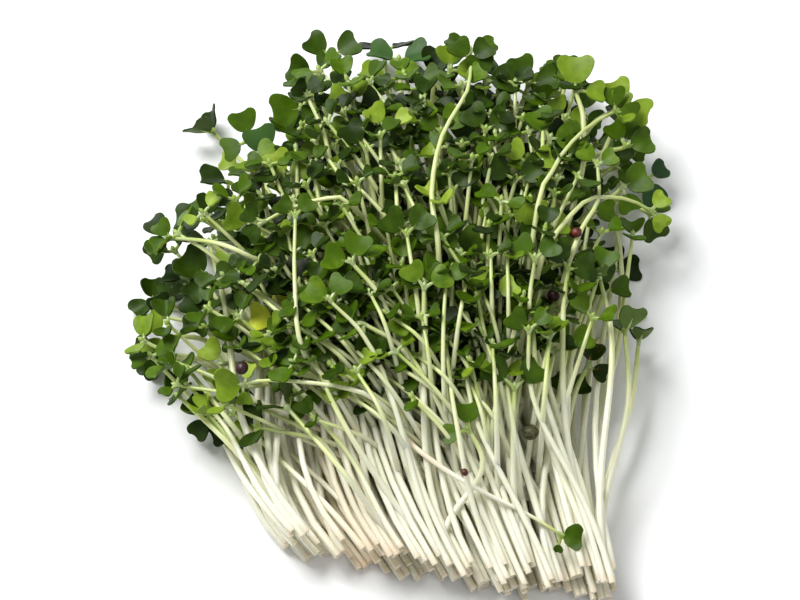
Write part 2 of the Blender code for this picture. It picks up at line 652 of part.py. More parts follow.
def main():
    """Builds the bunch in an emptied scene."""
    for obj in list(bpy.data.objects):
        bpy.data.objects.remove(obj)
    collection = bpy.context.scene.collection
    sprouts = lay_out()
    clumps = {}
    for sprout in sprouts:
        clumps.setdefault(sprout["clump"], []).append(sprout)
    for column, row in sorted(clumps):
        parts = []
        for sprout in clumps[column, row]:
            parts.append(stem_object(sprout, collection))
            parts += [blade_object(sprout, blade, collection) for blade in sprout["blades"]]
        name = f"clump_{column + 1:02d}_{row + 1}"
        clump = fused(name, parts, collection)
        clump.data.materials.clear()
        clump.data.materials.append(plain_material(name, LEAF_GREENS[column % len(LEAF_GREENS)], 0.5))
    for index, coat in enumerate(SEED_COATS):
        material = plain_material(f"seed_coat_{index + 1}", SEED_COAT_BROWN, 0.55)
        seed_coat(index, coat, collection, material)


if __name__ == "__main__":
    main()
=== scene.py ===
"""Bunch of cut microgreens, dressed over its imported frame.

The bunch's layout is worked out as it is in the frame's source, so that each clump's finer piece
has its stems and seed leaves where the clump has them. Further seedlings then fill the gaps, and
a few are laid along the routes that stand out in the photograph. Lengths are millimetres until a
vertex is placed.
"""

from __future__ import annotations

import logging
import math
import random
from dataclasses import dataclass, field
from enum import Enum

import bpy
import numpy as np
from mathutils import Matrix, Vector, kdtree

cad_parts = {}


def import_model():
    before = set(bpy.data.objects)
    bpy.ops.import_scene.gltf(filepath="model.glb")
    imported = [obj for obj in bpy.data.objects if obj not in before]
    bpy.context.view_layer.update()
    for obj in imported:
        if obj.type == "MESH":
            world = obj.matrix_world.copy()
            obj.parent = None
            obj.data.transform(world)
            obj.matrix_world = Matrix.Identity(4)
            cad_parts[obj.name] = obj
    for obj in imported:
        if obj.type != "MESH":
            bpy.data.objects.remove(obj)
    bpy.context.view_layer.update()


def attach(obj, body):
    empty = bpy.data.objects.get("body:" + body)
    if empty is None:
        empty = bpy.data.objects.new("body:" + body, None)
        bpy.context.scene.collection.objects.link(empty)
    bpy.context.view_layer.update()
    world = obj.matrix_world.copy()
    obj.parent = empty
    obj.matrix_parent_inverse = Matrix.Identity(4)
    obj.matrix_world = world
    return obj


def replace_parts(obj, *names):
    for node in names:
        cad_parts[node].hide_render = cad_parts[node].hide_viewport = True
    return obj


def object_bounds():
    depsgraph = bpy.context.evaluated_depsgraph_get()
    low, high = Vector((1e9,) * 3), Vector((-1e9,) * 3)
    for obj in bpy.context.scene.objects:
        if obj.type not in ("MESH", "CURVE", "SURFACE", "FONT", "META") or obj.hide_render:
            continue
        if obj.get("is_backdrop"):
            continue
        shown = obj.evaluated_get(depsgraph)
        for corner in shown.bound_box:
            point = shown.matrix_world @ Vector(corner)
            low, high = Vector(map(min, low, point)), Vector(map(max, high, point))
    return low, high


LOG = logging.getLogger("microgreens")
MM = 0.001

# Sizes and rules of the frame's own layout
STEM_BASE_RADIUS = 0.98
BLADE_LENGTH_RATIO = 0.80
LEAST_PARTING = 92.0
SAMPLE_STEP = 1.1
LOWEST_SAMPLE = 0.25
LOWEST_STEM = STEM_BASE_RADIUS * 0.66
MODEL_SHIFT_Y = 4.8
COLUMNS = 12
ROWS = 3
COLUMN_PITCH = 4.5
ROW_PITCH = 3.2
FIRST_COLUMN_X = -9.0
FIRST_ROW_Z = 1.25
CUT_LINE_Y = -66.0
ROW_LIFTS = (0.5, 6.0, 12.0)
STEMS_PER_CLUMP = 4
LEFT_HEADING = -44.0
RIGHT_HEADING = -15.0
SLOT_OFFSETS = ((-0.6, -0.55), (0.62, -0.5), (-0.57, 0.56), (0.64, 0.6))
SLOT_SPREAD = (0.06, 0.025)
FUSED_LENGTH = 18.0
LEFT_EDGE = ((-62.0, -9.0), (-25.0, -42.0), (60.0, -42.0))
RIGHT_EDGE = ((-62.0, 40.0), (-25.0, 32.0), (0.0, 38.0), (30.0, 50.0), (60.0, 50.0))
VIEW_TILT = math.radians(65.0)
LYING_HEIGHT = 0.3
LEVEL_SHARES = (0.22, 0.5, 0.75, 0.95)
SEED = 4107
FILLERS = 200
MOST_SPROUTS = 90
HERO_TRIES = 2000
FILLER_TRIES = 700
THROUGH_SHARES = (0.65, 0.35)
ARRIVE_SHARES = (0.8, 0.2)
END_HANDLE = 0.3
FIRST_HANDLES = (0.35, 0.55)
SECOND_HANDLES = (0.25, 0.45)
FOLDS = (-0.05, 0.3)
COAT_MARGIN = 0.2
BACK_TURN = 22.0
PASS_REACHES = (9.0, 16.0)
OTHER_LEAF_SHARES = (0.75, 0.95)

RIGHT = Vector((1.0, 0.0, 0.0))
UP = Vector((0.0, math.sin(VIEW_TILT), math.cos(VIEW_TILT)))
FACING = Vector((0.0, -math.cos(VIEW_TILT), math.sin(VIEW_TILT)))

# Each row: head junction (u, v), level 0 low to 3 top or -1 for lying on the surface, a point
# (u, v) that its stem passes, then for each of the two blades its centre (u, v), its width and
# its turn from facing upwards.
HEADS = (
    (-20.0, 36.0, -1, -14.0, 26.0, (-25.0, 38.0, 7, 0), (-19.0, 41.0, 7, 0)),
    (8.0, 41.0, -1, 8.0, 31.0, (4.0, 44.0, 7, 0), (12.2, 44.0, 7, 0)),
    (33.0, 36.0, -1, 29.0, 26.0, (31.0, 41.0, 7, 0), (38.0, 37.5, 7, 0)),
    (-42.0, 4.0, -1, -33.0, 0.0, (-47.0, 2.4, 7, 0), (-44.0, 8.4, 7, 0)),
    (43.0, 6.0, -1, 38.0, -3.0, (42.2, 11.0, 7, 0), (48.0, 6.6, 7, 0)),
    (33.0, -9.5, 2, 32.0, -16.0, (31.4, -6.2, 6, 10), (36.4, -7.4, 6, 10)),
    (37.0, -13.0, 1, 34.5, -19.0, (38.8, -9.8, 6, 10), (40.2, -14.0, 5, 20)),
    (33.5, -18.5, 1, 33.0, -25.0, (31.4, -15.8, 5, 10), (36.4, -17.0, 5, 20)),
    (38.0, 0.0, 2, 35.0, -6.0, (34.8, 1.6, 6, 10), (39.6, 3.0, 5, 20)),
    (41.0, 1.8, 1, 39.0, -5.0, (40.6, 5.7, 7, 30), (44.6, 2.6, 6, 40)),
    (50.0, 24.5, 1, 45.0, 27.0, (53.0, 26.4, 5, 10), (51.5, 20.8, 7, 20)),
    (-9.5, -21.0, 1, -3.0, -24.0, (-12.9, -21.4, 5, 50), (-9.4, -17.6, 5, 30)),
    (14.0, -12.5, 2, 17.0, -18.0, (11.2, -10.6, 6, 10), (15.8, -9.0, 5, 20)),
    (-20.0, 3.0, 2, -12.0, -1.0, (-24.4, 3.6, 8, 40), (-20.0, 7.2, 7, 20)),
    (10.0, 8.5, 3, 10.5, 0.0, (8.0, 14.0, 8, 10), (13.5, 12.5, 8, 10)),
    (21.7, 16.5, 3, 20.5, 7.0, (18.3, 18.5, 7, 5), (25.2, 17.5, 7, 5)),
    (33.0, 6.0, 3, 32.0, -3.0, (31.0, 10.0, 7, 10), (36.8, 6.6, 7, 10)),
    (45.5, 39.2, 3, 38.5, 35.0, (43.8, 42.8, 7, 5), (48.9, 38.0, 7, 5)),
    (35.5, 42.0, 3, 37.0, 37.0, (36.0, 47.0, 9, 5), (40.0, 42.2, 6, 40)),
    (22.3, -17.5, 3, 22.0, -26.0, (19.2, -13.0, 7, 5), (25.2, -13.3, 7, 5)),
    (-9.5, 7.5, 3, -4.0, 1.0, (-13.5, 8.8, 7, 10), (-8.6, 11.6, 7, 10)),
    (-7.0, -4.8, 3, 0.0, -9.0, (-11.0, -4.0, 7, 10), (-6.5, -8.8, 6, 20)),
    (-7.0, 30.0, 3, -5.5, 21.0, (-9.8, 34.0, 7, 10), (-3.6, 32.6, 6, 20)),
    (-2.8, 34.0, 3, -0.5, 26.0, (-5.0, 37.8, 6, 20), (0.4, 37.0, 5, 30)),
    (18.0, 0.0, 3, 18.7, -9.0, (16.0, 4.2, 7, 10), (21.2, 3.0, 6, 20)),
    (13.5, -25.5, 3, 16.0, -31.0, (12.0, -21.8, 6, 10), (9.6, -25.0, 5, 20)),
    (10.5, 21.5, 3, 11.0, 15.0, (12.8, 25.3, 7, 10), (7.4, 24.0, 6, 30)),
    (4.5, 2.0, 3, 4.5, -6.0, (2.8, 5.8, 6, 10), (7.8, 4.8, 6, 10)),
    (-31.5, 3.5, 3, -25.0, 1.0, (-35.0, 5.8, 7, 10), (-31.0, 8.0, 7, 20)),
    (-38.5, 4.7, 2, -33.0, 2.5, (-42.3, 7.2, 9, 5), (-41.5, 1.5, 6, 15)),
    (-30.8, -17.0, 2, -20.0, -16.0, (-34.6, -17.0, 6, 5), (-30.0, -13.4, 5, 40)),
    (-46.5, -7.0, 1, -39.0, -8.0, (-49.8, -4.6, 6, 5), (-49.5, -9.8, 7, 20)),
    (-46.5, 12.3, 1, -39.0, 11.8, (-49.0, 15.3, 6, 20), (-49.5, 9.6, 6, 20)),
    (-38.7, 15.9, 1, -33.0, 12.0, (-43.0, 16.3, 8, 20), (-38.0, 19.8, 6, 20)),
    (-30.2, 31.8, 2, -24.0, 27.0, (-32.5, 35.8, 7, 10), (-34.6, 31.0, 6, 20)),
    (-27.0, 28.5, 2, -22.0, 21.0, (-28.5, 33.0, 8, 10), (-22.9, 29.0, 7, 30)),
    (-19.5, 38.5, 2, -15.0, 30.0, (-23.8, 37.8, 9, 10), (-18.0, 42.4, 6, 40)),
    (-16.5, 45.5, 2, -15.0, 38.0, (-15.0, 49.0, 5, 30), (-21.0, 47.0, 7, 10)),
    (-13.8, 49.5, 2, -12.0, 40.0, (-17.4, 52.2, 7, 20), (-10.0, 52.0, 7, 20)),
    (-2.5, 44.5, 2, -1.5, 37.0, (-6.4, 46.2, 8, 65), (1.8, 46.0, 8, 65)),
    (-9.7, 39.6, 2, -7.5, 34.0, (-13.0, 41.2, 6, 10), (-8.6, 43.2, 6, 40)),
    (-13.0, 30.3, 2, -9.0, 23.0, (-16.8, 32.3, 8, 10), (-11.3, 34.6, 7, 20)),
    (0.0, 49.0, 1, 0.5, 42.0, (-4.3, 50.8, 8, 50), (4.3, 50.2, 8, 50)),
    (7.0, 45.5, 1, 6.5, 38.0, (7.0, 49.8, 8, 10), (3.0, 46.8, 6, 30)),
    (10.0, 46.5, 2, 9.0, 39.0, (10.6, 50.2, 6, 10), (13.8, 47.6, 6, 30)),
    (14.3, 50.5, 2, 13.5, 42.0, (11.0, 52.8, 6, 40), (18.0, 52.2, 6, 40)),
    (17.0, 44.0, 2, 15.0, 34.5, (16.8, 48.2, 7, 10), (21.3, 45.4, 8, 20)),
    (13.0, 31.0, 1, 13.0, 24.0, (13.0, 35.2, 7, 10), (17.0, 32.0, 6, 20)),
    (26.0, 43.5, 2, 24.0, 37.0, (25.0, 48.0, 7, 10), (30.2, 45.2, 7, 20)),
    (33.0, 43.0, 1, 30.0, 37.0, (31.3, 46.8, 7, 50), (36.6, 44.6, 6, 50)),
    (25.5, 41.5, 2, 22.0, 33.0, (22.2, 43.6, 6, 20), (29.0, 40.6, 7, 10)),
    (33.0, 36.5, 2, 30.0, 31.5, (31.6, 39.8, 5, 10), (36.2, 37.0, 5, 10)),
    (29.8, 32.0, 2, 26.5, 22.0, (27.8, 36.4, 7, 10), (34.2, 32.4, 8, 10)),
    (45.5, 31.0, 2, 39.0, 29.0, (43.4, 34.6, 6, 30), (49.2, 32.2, 7, 10)),
    (44.0, 29.0, 1, 38.0, 26.0, (45.6, 25.6, 7, 40), (41.2, 31.6, 6, 20)),
    (44.5, 22.8, 2, 38.0, 16.0, (48.4, 24.2, 8, 10), (46.4, 19.4, 6, 20)),
    (50.0, 17.5, 1, 44.0, 20.0, (51.6, 13.8, 7, 20), (53.0, 18.9, 5, 40)),
    (22.8, 24.0, 2, 20.5, 14.0, (19.0, 26.6, 7, 10), (26.6, 26.0, 7, 10)),
    (35.0, 23.5, 2, 34.5, 15.0, (33.8, 27.8, 7, 10), (38.6, 24.6, 5, 30)),
    (28.5, 14.0, 2, 27.0, 5.0, (27.2, 18.0, 6, 10), (32.0, 15.4, 6, 20)),
    (-31.5, 27.0, 1, -25.0, 23.0, (-35.0, 28.2, 5, 10), (-31.2, 23.6, 5, 50)),
    (-34.5, 24.0, 1, -28.0, 20.0, (-38.3, 25.0, 8, 60), (-35.2, 20.4, 6, 30)),
    (-38.0, 11.0, 2, -36.0, 3.5, (-41.8, 12.6, 7, 60), (-34.4, 13.2, 6, 60)),
    (-49.9, -0.3, 0, -44.0, -2.0, (-50.0, 3.0, 6, 10), (-52.6, -1.8, 6, 30)),
    (-46.0, -12.0, 0, -39.0, -12.0, (-49.6, -13.6, 7, 10), (-45.6, -15.8, 6, 20)),
    (-38.5, -2.0, 1, -32.0, -3.5, (-42.2, -1.0, 7, 20), (-41.0, -5.2, 5, 20)),
    (-24.5, -4.0, 2, -18.0, -6.0, (-28.2, -2.8, 7, 20), (-24.4, 0.0, 5, 30)),
    (-25.5, -10.3, 2, -18.0, -12.0, (-24.4, -6.8, 6, 10), (-29.2, -10.0, 6, 20)),
    (-34.5, -12.5, 1, -28.0, -13.0, (-38.4, -11.0, 6, 10), (-37.6, -14.6, 5, 10)),
    (-21.5, -14.0, 2, -14.0, -16.0, (-23.6, -11.0, 6, 10), (-24.8, -15.8, 5, 20)),
    (2.5, -9.0, 2, 6.0, -14.0, (3.6, -5.4, 6, 10), (-1.0, -8.6, 5, 30)),
    (-16.5, 17.0, 2, -11.0, 10.0, (-14.8, 20.6, 5, 30), (-20.2, 17.8, 6, 20)),
    (-36.5, -22.0, 0, -29.0, -22.0, (-40.2, -20.2, 7, 10), (-39.6, -24.4, 6, 20)),
    (-33.0, -25.0, 0, -27.0, -24.0, (-36.2, -26.8, 6, 10), (-31.8, -28.6, 5, 20)),
    (-27.0, -26.0, 1, -20.0, -25.5, (-30.4, -27.0, 6, 10), (-27.4, -29.4, 5, 10)),
    (-22.5, -23.5, 1, -16.0, -24.0, (-25.8, -21.0, 6, 10), (-26.0, -25.6, 5, 10)),
)

# Seed coats: (u, v), height, the three diameters
SEED_COATS = (
    (35.0, 13.4, 17.0, 2.6, 2.2, 2.0),
    (25.7, -26.0, 12.0, 3.4, 3.2, 2.8),
    (30.5, 1.0, 19.0, 3.0, 2.6, 2.4),
    (-31.0, -13.3, 10.0, 3.0, 2.6, 2.4),
)

# Seed coats that show on top of the bunch: (u, v), the three diameters, two hues
SHOWN_COATS = (
    (35.0, 13.4, 2.4, 2.2, 1.8, "#6a2818", "#3a140e"),
    (25.7, -26.0, 3.6, 3.3, 2.4, "#5b5a34", "#2a2a17"),
    (-31.0, -13.3, 3.0, 2.6, 2.2, "#35121a", "#1a090c"),
    (12.6, -33.6, 1.8, 1.4, 1.2, "#5a2417", "#3a140e"),
)

# Heads of further seedlings that show in the photograph, as in HEADS
EXTRA_HEADS = (
    (-18.5, 40.8, 3, -15.0, 33.0, (-20.2, 42.4, 5, 20), (-16.6, 43.0, 5, 30)),
    (-23.0, 25.0, 2, -18.0, 18.0, (-24.6, 28.4, 7, 10), (-19.8, 26.6, 6, 30)),
    (-3.0, 50.6, 1, -2.0, 42.0, (-6.6, 51.9, 7, 65), (1.4, 52.2, 7, 65)),
    (36.5, 38.0, 2, 33.0, 31.0, (38.2, 41.0, 6, 10), (40.2, 37.2, 5, 30)),
    (45.5, 31.0, 1, 39.0, 27.0, (47.4, 34.4, 6, 20), (48.7, 30.6, 6, 20)),
    (43.4, 27.2, 1, 38.0, 22.0, (45.6, 29.6, 6, 20), (46.8, 25.6, 6, 40)),
    (28.5, 14.0, 2, 27.5, 5.0, (28.4, 17.4, 6, 10), (31.8, 12.2, 5, 20)),
    (-36.0, 5.0, 3, -30.0, 3.0, (-34.2, 8.0, 5, 20), (-32.0, 4.4, 5, 20)),
    (-46.5, -4.0, 1, -39.0, -6.0, (-48.4, -1.4, 6, 20), (-50.6, -4.8, 6, 20)),
    (-49.0, -11.0, 0, -41.0, -11.5, (-52.2, -9.6, 6, 20), (-50.6, -13.8, 6, 20)),
    (-26.0, -12.8, 1, -18.0, -14.5, (-28.6, -14.6, 5, 20), (-24.4, -15.4, 5, 20)),
    (-4.0, -19.0, 2, 2.0, -24.0, (-6.6, -18.0, 5, 20), (-2.6, -16.6, 5, 30)),
    (3.0, -13.5, 2, 8.0, -20.0, (1.6, -11.6, 5, 20), (5.0, -11.2, 5, 20)),
    (17.0, 34.0, 2, 15.0, 24.0, (14.6, 37.4, 7, 10), (20.4, 36.4, 7, 10)),
    (2.0, 20.0, 2, 3.0, 10.0, (-1.4, 22.6, 7, 10), (4.4, 23.4, 7, 10)),
    (0.5, 12.0, 3, 2.0, 3.0, (-2.6, 14.8, 7, 10), (3.6, 15.4, 7, 10)),
    (26.0, 8.0, 3, 25.0, -2.0, (23.4, 11.0, 6, 10), (29.2, 10.6, 6, 10)),
    (-14.0, 0.0, 3, -8.0, -6.0, (-17.2, 2.0, 7, 10), (-12.0, 3.4, 6, 10)),
    (-22.0, 10.0, 3, -16.0, 4.0, (-25.4, 12.2, 7, 10), (-20.2, 13.6, 7, 10)),
    (-30.0, 15.5, 2, -23.0, 10.0, (-33.4, 16.6, 7, 10), (-29.4, 19.2, 6, 20)),
    (7.0, 33.0, 2, 7.0, 24.0, (4.0, 35.4, 6, 10), (9.8, 36.2, 7, 10)),
    (26.0, 27.0, 2, 24.0, 18.0, (23.0, 30.4, 6, 10), (29.6, 28.6, 6, 20)),
    (38.0, 17.5, 2, 36.5, 8.0, (36.0, 20.8, 6, 10), (41.6, 17.8, 6, 20)),
    (40.0, 31.0, 2, 36.0, 24.0, (38.2, 34.2, 6, 10), (42.8, 31.4, 5, 20)),
    (24.0, -5.0, 3, 24.0, -14.0, (21.4, -2.4, 6, 10), (26.8, -2.0, 5, 20)),
    (10.0, -4.5, 3, 11.5, -13.0, (7.4, -2.0, 6, 10), (12.6, -1.6, 6, 10)),
    (-17.0, -8.0, 2, -9.0, -12.0, (-20.2, -6.8, 6, 10), (-15.6, -4.8, 6, 10)),
    (-17.5, -22.0, 1, -10.0, -24.0, (-20.2, -21.0, 5, 20), (-17.6, -18.8, 5, 30)),
    (-33.0, -7.0, 2, -26.0, -9.0, (-35.8, -5.0, 6, 10), (-33.4, -9.6, 5, 20)),
    (-28.0, -21.0, 1, -20.0, -21.5, (-31.0, -20.0, 6, 10), (-29.0, -23.6, 5, 20)),
)

# Seedlings laid along routes that stand out: the share of the canopy's height that they run at,
# the stem's points (u, v) from low to head, then each blade as in HEADS
LAID_OVER = (
    (1.02, ((10.0, -38.0), (8.6, -17.0), (8.5, -5.0), (9.0, 3.0)), ((6.6, 5.4, 5, 10), (11.4, 5.6, 5, 20))),
    (1.0, ((6.0, -30.0), (-5.0, -19.5), (-12.0, -17.0), (-20.0, -16.0), (-27.0, -15.8), (-30.8, -16.6)),
     ((-34.4, -16.8, 8, 5), (-30.6, -19.6, 4, 30))),
    (1.0, ((-18.0, 2.0), (-30.5, 9.0), (-36.0, 11.2), (-41.0, 12.0), (-45.5, 12.3)),
     ((-47.6, 14.6, 5, 10), (-48.4, 11.0, 5, 20))),
    (1.04, ((8.5, -14.0), (7.5, 11.0), (6.2, 20.0), (7.5, 30.0), (10.0, 36.0), (13.5, 42.0), (14.4, 48.0)),
     ((12.0, 51.2, 6, 20), (17.0, 50.8, 6, 20))),
    (1.0, ((26.0, -8.0), (28.0, 8.0), (36.0, 19.0), (41.0, 20.5), (46.0, 20.0), (50.2, 17.9)),
     ((52.4, 20.2, 5, 20), (52.4, 15.4, 5, 20))),
    (1.0, ((30.0, -6.0), (33.0, 6.0), (36.0, 14.0), (39.5, 20.0), (39.5, 27.0)),
     ((37.2, 29.6, 5, 20), (42.2, 28.6, 5, 20))),
    (1.02, ((4.0, 4.0), (-10.0, 19.0), (-15.0, 20.0), (-22.0, 18.0), (-27.0, 15.4)),
     ((-29.4, 13.2, 5, 10), (-30.0, 17.2, 5, 10))),
    (1.03, ((-10.0, -24.0), (-19.0, -10.0), (-20.7, 4.0), (-20.7, 16.5)),
     ((-23.2, 18.8, 5, 10), (-18.4, 19.2, 5, 10))),
    (1.0, ((22.0, -24.0), (27.0, 17.0), (30.0, 25.0), (33.0, 30.0), (38.0, 35.0), (43.4, 38.0)),
     ((43.0, 41.6, 6, 10), (46.8, 37.6, 6, 10))),
)

# Seedlings that lie over the bundle or on the surface beside it: each point is (u, v, height)
LAID_FREE = (
    (((-2.0, -24.0, 13.0), (3.0, -29.0, 17.5), (10.0, -34.0, 17.5), (17.0, -38.0, 15.6), (25.0, -42.0, 12.6),
      (31.5, -46.0, 10.6)),
     ((34.2, -46.4, 6.2, 0), (31.0, -49.0, 2.4, 0))),
    (((36.0, -11.0, 0.75), (41.0, -7.5, 0.7), (46.0, -4.9, 0.7), (49.5, -3.0, 0.7)), ()),
    (((-12.0, -21.0, 0.8), (-19.6, -30.0, 0.75), (-20.6, -37.0, 0.7), (-20.5, -44.0, 0.7)), ()),
)

# The canopy's outline (u, v) in the tilted plane, inside which fillers have their heads
CANOPY_OUTLINE = (
    (-52.0, -7.0), (-50.0, 2.0), (-48.0, 11.0), (-43.0, 15.0), (-35.0, 20.0), (-36.0, 27.0), (-33.0, 35.0),
    (-25.0, 35.0), (-20.0, 43.0), (-16.0, 49.0), (-6.0, 49.0), (4.0, 49.0), (14.0, 50.0), (24.0, 44.0),
    (32.0, 46.0), (40.0, 44.0), (46.0, 38.0), (46.0, 28.0), (50.0, 20.0), (50.0, 14.0), (40.0, 10.0),
    (39.0, 0.0), (36.0, -12.0), (30.0, -18.0), (10.0, -20.0), (-10.0, -22.0), (-26.0, -27.0),
    (-36.0, -26.0), (-43.0, -19.0), (-50.0, -12.0),
)

# Where a seedling cut short may have its lower end: under the canopy or in the bundle
WITHIN_BUNCH = (
    (-30.0, -14.0), (-31.0, 3.0), (-26.0, 16.0), (-20.0, 29.0), (-8.0, 36.0), (12.0, 38.0), (25.0, 34.0),
    (31.0, 24.0), (32.0, 6.0), (29.0, -8.0), (28.0, -22.0), (30.0, -40.0), (5.0, -42.0), (-6.0, -33.0),
    (-22.0, -25.0),
)

# The part of it that leaves close; round it they stand apart
CANOPY_CORE = (
    (-28.0, -15.0), (-33.0, 0.0), (-29.0, 18.0), (-25.0, 34.0), (-12.0, 44.0), (10.0, 46.0), (28.0, 42.0),
    (36.0, 34.0), (37.0, 12.0), (33.0, -8.0), (24.0, -17.0), (0.0, -20.0),
)

# Heads by the look of their leaves. The light ones are painted backlight: pale yellow-green for light shining
# through them from behind
BACKLIT_HEADS = (
    (-31.5, 27.0), (-9.7, 39.6), (-2.8, 34.0), (10.0, 46.5), (35.5, 42.0), (33.0, 36.5), (45.5, 39.2),
    (21.7, 16.5), (28.5, 14.0), (4.5, 2.0), (-46.5, -7.0), (-34.5, -12.5), (-30.8, -17.0), (-25.5, -10.3),
    (-27.0, -26.0), (-30.8, -16.6),
)
# Painted sheen: heads whose leaves get a dull bluish share that stands for the reflection of the bright
# surround
SHEEN_HEADS = ((-27.0, 28.5), (0.0, 49.0), (-24.5, 3.6), (50.0, 24.5))
# The leaves' own colours: a faded head and a spotted one
FADED_HEAD = (-24.5, -4.0)
SPOTTED_HEAD = (37.0, -13.0)

# The dressed bunch
EXTRA_SEED = 911
EXTRA_FILLERS = 200
EXTRA_TRIES = 60
COVER_TRIES = 24
# Painted light: the chance that a leaf is painted as lit through from behind, scaled by its height in the
# canopy
BACKLIT_CHANCE = 0.1
SHOWN_RADIUS = 2.3
SETTLE_EVERY = 5
START_SHARES = (0.35, 0.97)
FINE_LEAF_SCALE = 0.93
HEAD_TRIES = 160
STEM_RADII = (0.78, 0.40)
EXTRA_STEM_RADII = (0.68, 0.34)
LEAF_THICKNESS = 0.34
STEM_RINGS = 17
FAR_STEPS = 6
NEAR_STEPS = STEM_RINGS - FAR_STEPS - 1
PETIOLE_RINGS = 6
PETIOLE_RADII = (0.46, 0.36, 0.30, 0.10)
PETIOLE_REACH = 0.42
BUD_LENGTH = 1.5
CURVE_STEPS = 12
SHORT_FOLDS = (-0.05, 0.7)
FILLER_FOLDS = (-0.05, 0.8)

# How seed leaves curl, in shares of their size, and below which height they lie flat
LEAF_ARCHES = (-0.05, 0.30)
LEAF_CUPS = (-0.08, 0.18)
LEAF_TWISTS = (-0.35, 0.35)
LEAF_WAVES = (0.0, 0.05)
FLAT_HEIGHT = 1.0

# Looks: a leaf's tone runs from 0 dark to 1 light. Besides its own random spread it carries painted shade:
# darkest at the surface, lighter with height in the canopy and lighter again outside the canopy's core, where
# less shade falls
LOOK_SEED = 77
DEEP_SHADE_TONE = 0.10
HEIGHT_LIGHT_TONE = 0.34
EDGE_LIGHT_TONE = 0.12
TONE_SPREAD = 0.13
TONE_LIMITS = (0.04, 0.70)
# Painted backlight: the pale tones of leaves lit through from behind
BACKLIT_TONES = (0.66, 0.90)
LOW_HEAD_TONE = 0.42
LOW_HEAD_V = -40.0
GREENING_PLACES = (-30.0, -12.0, 15.0)
GREENING_SHARES = (0.0, 0.58, 0.72)
LEAF_SCATTER = (0.8, 1.0, 0.25)
STEM_SCATTER = (2.0, 1.8, 1.2)


@dataclass(frozen=True)
class HeadStyle:
    """How random heads vary: leaf width, how far they turn upwards, how far they open, and their necks."""

    widths: tuple[float, float]
    lifts: tuple[float, float] = (0.1, 0.9)
    openings: tuple[float, float] = (38.0, 80.0)
    neck: float = 1.0
    least_back: float = 38.0


FRAME_STYLE = HeadStyle((5.0, 8.0))
EXTRA_STYLE = HeadStyle((4.8, 7.2), (0.3, 1.3))


@dataclass(frozen=True)
class Cover:
    """A layer of seedlings cut short: how close they stand, how high, and how their heads vary."""

    pitch: float
    depths: tuple[float, float]
    clearance: float
    edge_chance: float
    style: HeadStyle
    highest_v: float = 51.0


COVERS = (
    Cover(5.2, (0.35, 0.70), -0.70, 0.12, HeadStyle((5.2, 7.2), (0.6, 1.8), (50.0, 86.0), 1.5, 22.0)),
    Cover(4.6, (0.68, 1.0), -0.70, 0.30, HeadStyle((4.2, 6.6), (0.5, 1.8), (48.0, 86.0), 1.7, 22.0)),
    Cover(4.4, (0.62, 1.0), -0.70, 0.0, HeadStyle((4.6, 6.8), (0.6, 1.9), (52.0, 86.0), 1.6, 22.0), 4.0),
)


def linear(code: str) -> tuple[float, float, float, float]:
    """The linear colour of an sRGB hex code such as #a1b2c3."""
    channels = [int(code[i:i + 2], 16) / 255.0 for i in (1, 3, 5)]
    return (*[c / 12.92 if c <= 0.04045 else ((c + 0.055) / 1.055) ** 2.4 for c in channels], 1.0)


def world(u: float, v: float, z: float) -> Vector:
    """The point at height z that lies at (u, v) in the tilted plane."""
    return Vector((u, (v - z * math.cos(VIEW_TILT)) / math.sin(VIEW_TILT), z))


def seen(point: Vector) -> tuple[float, float]:
    """Where (u, v) a point lies in the tilted plane."""
    return point.x, point.dot(UP)


def canopy_height(u: float, v: float) -> float:
    """Height of the canopy's top over the surface at (u, v)."""
    across = 1.0 - min(1.0, abs(u / 62.0)) ** 2.2
    along = 1.0 - min(1.0, abs((v - 10.0) / 50.0)) ** 2.5
    return 6.5 + 25.0 * max(0.0, across) * max(0.0, along)


def along_table(table: tuple[tuple[float, float], ...], y: float) -> float:
    """The value at y on the line through (y, value) pairs."""
    for (y0, value0), (y1, value1) in zip(table, table[1:]):
        if y <= y1:
            return value0 + (value1 - value0) * max(0.0, (y - y0) / (y1 - y0))
    return table[-1][1]


def inside(outline: tuple[tuple[float, float], ...], u: float, v: float) -> bool:
    """True when (u, v) lies inside the outline."""
    found = False
    for (u0, v0), (u1, v1) in zip(outline, outline[1:] + outline[:1]):
        if (v0 > v) != (v1 > v) and u < u0 + (u1 - u0) * (v - v0) / (v1 - v0):
            found = not found
    return found


def bezier(a: Vector, b: Vector, c: Vector, d: Vector, count: int) -> list[Vector]:
    """count points after a on the cubic curve with these four handles."""
    found = []
    for i in range(1, count + 1):
        t = i / count
        s = 1.0 - t
        found.append(a * s ** 3 + b * (3 * s * s * t) + c * (3 * s * t * t) + d * t ** 3)
    return found


@dataclass
class Blade:
    """One seed leaf's place: its frame, its size and how far from the head it starts."""

    across: Vector
    along: Vector
    normal: Vector
    width: float
    length: float
    neck: float

    @classmethod
    def squared(cls, along: Vector, normal: Vector, width: float, length: float, neck: float) -> Blade:
        """A blade whose frame is squared from a way along it and a rough normal."""
        along = along.normalized()
        across = along.cross(normal).normalized()
        return cls(across, along, across.cross(along), width, length, neck)


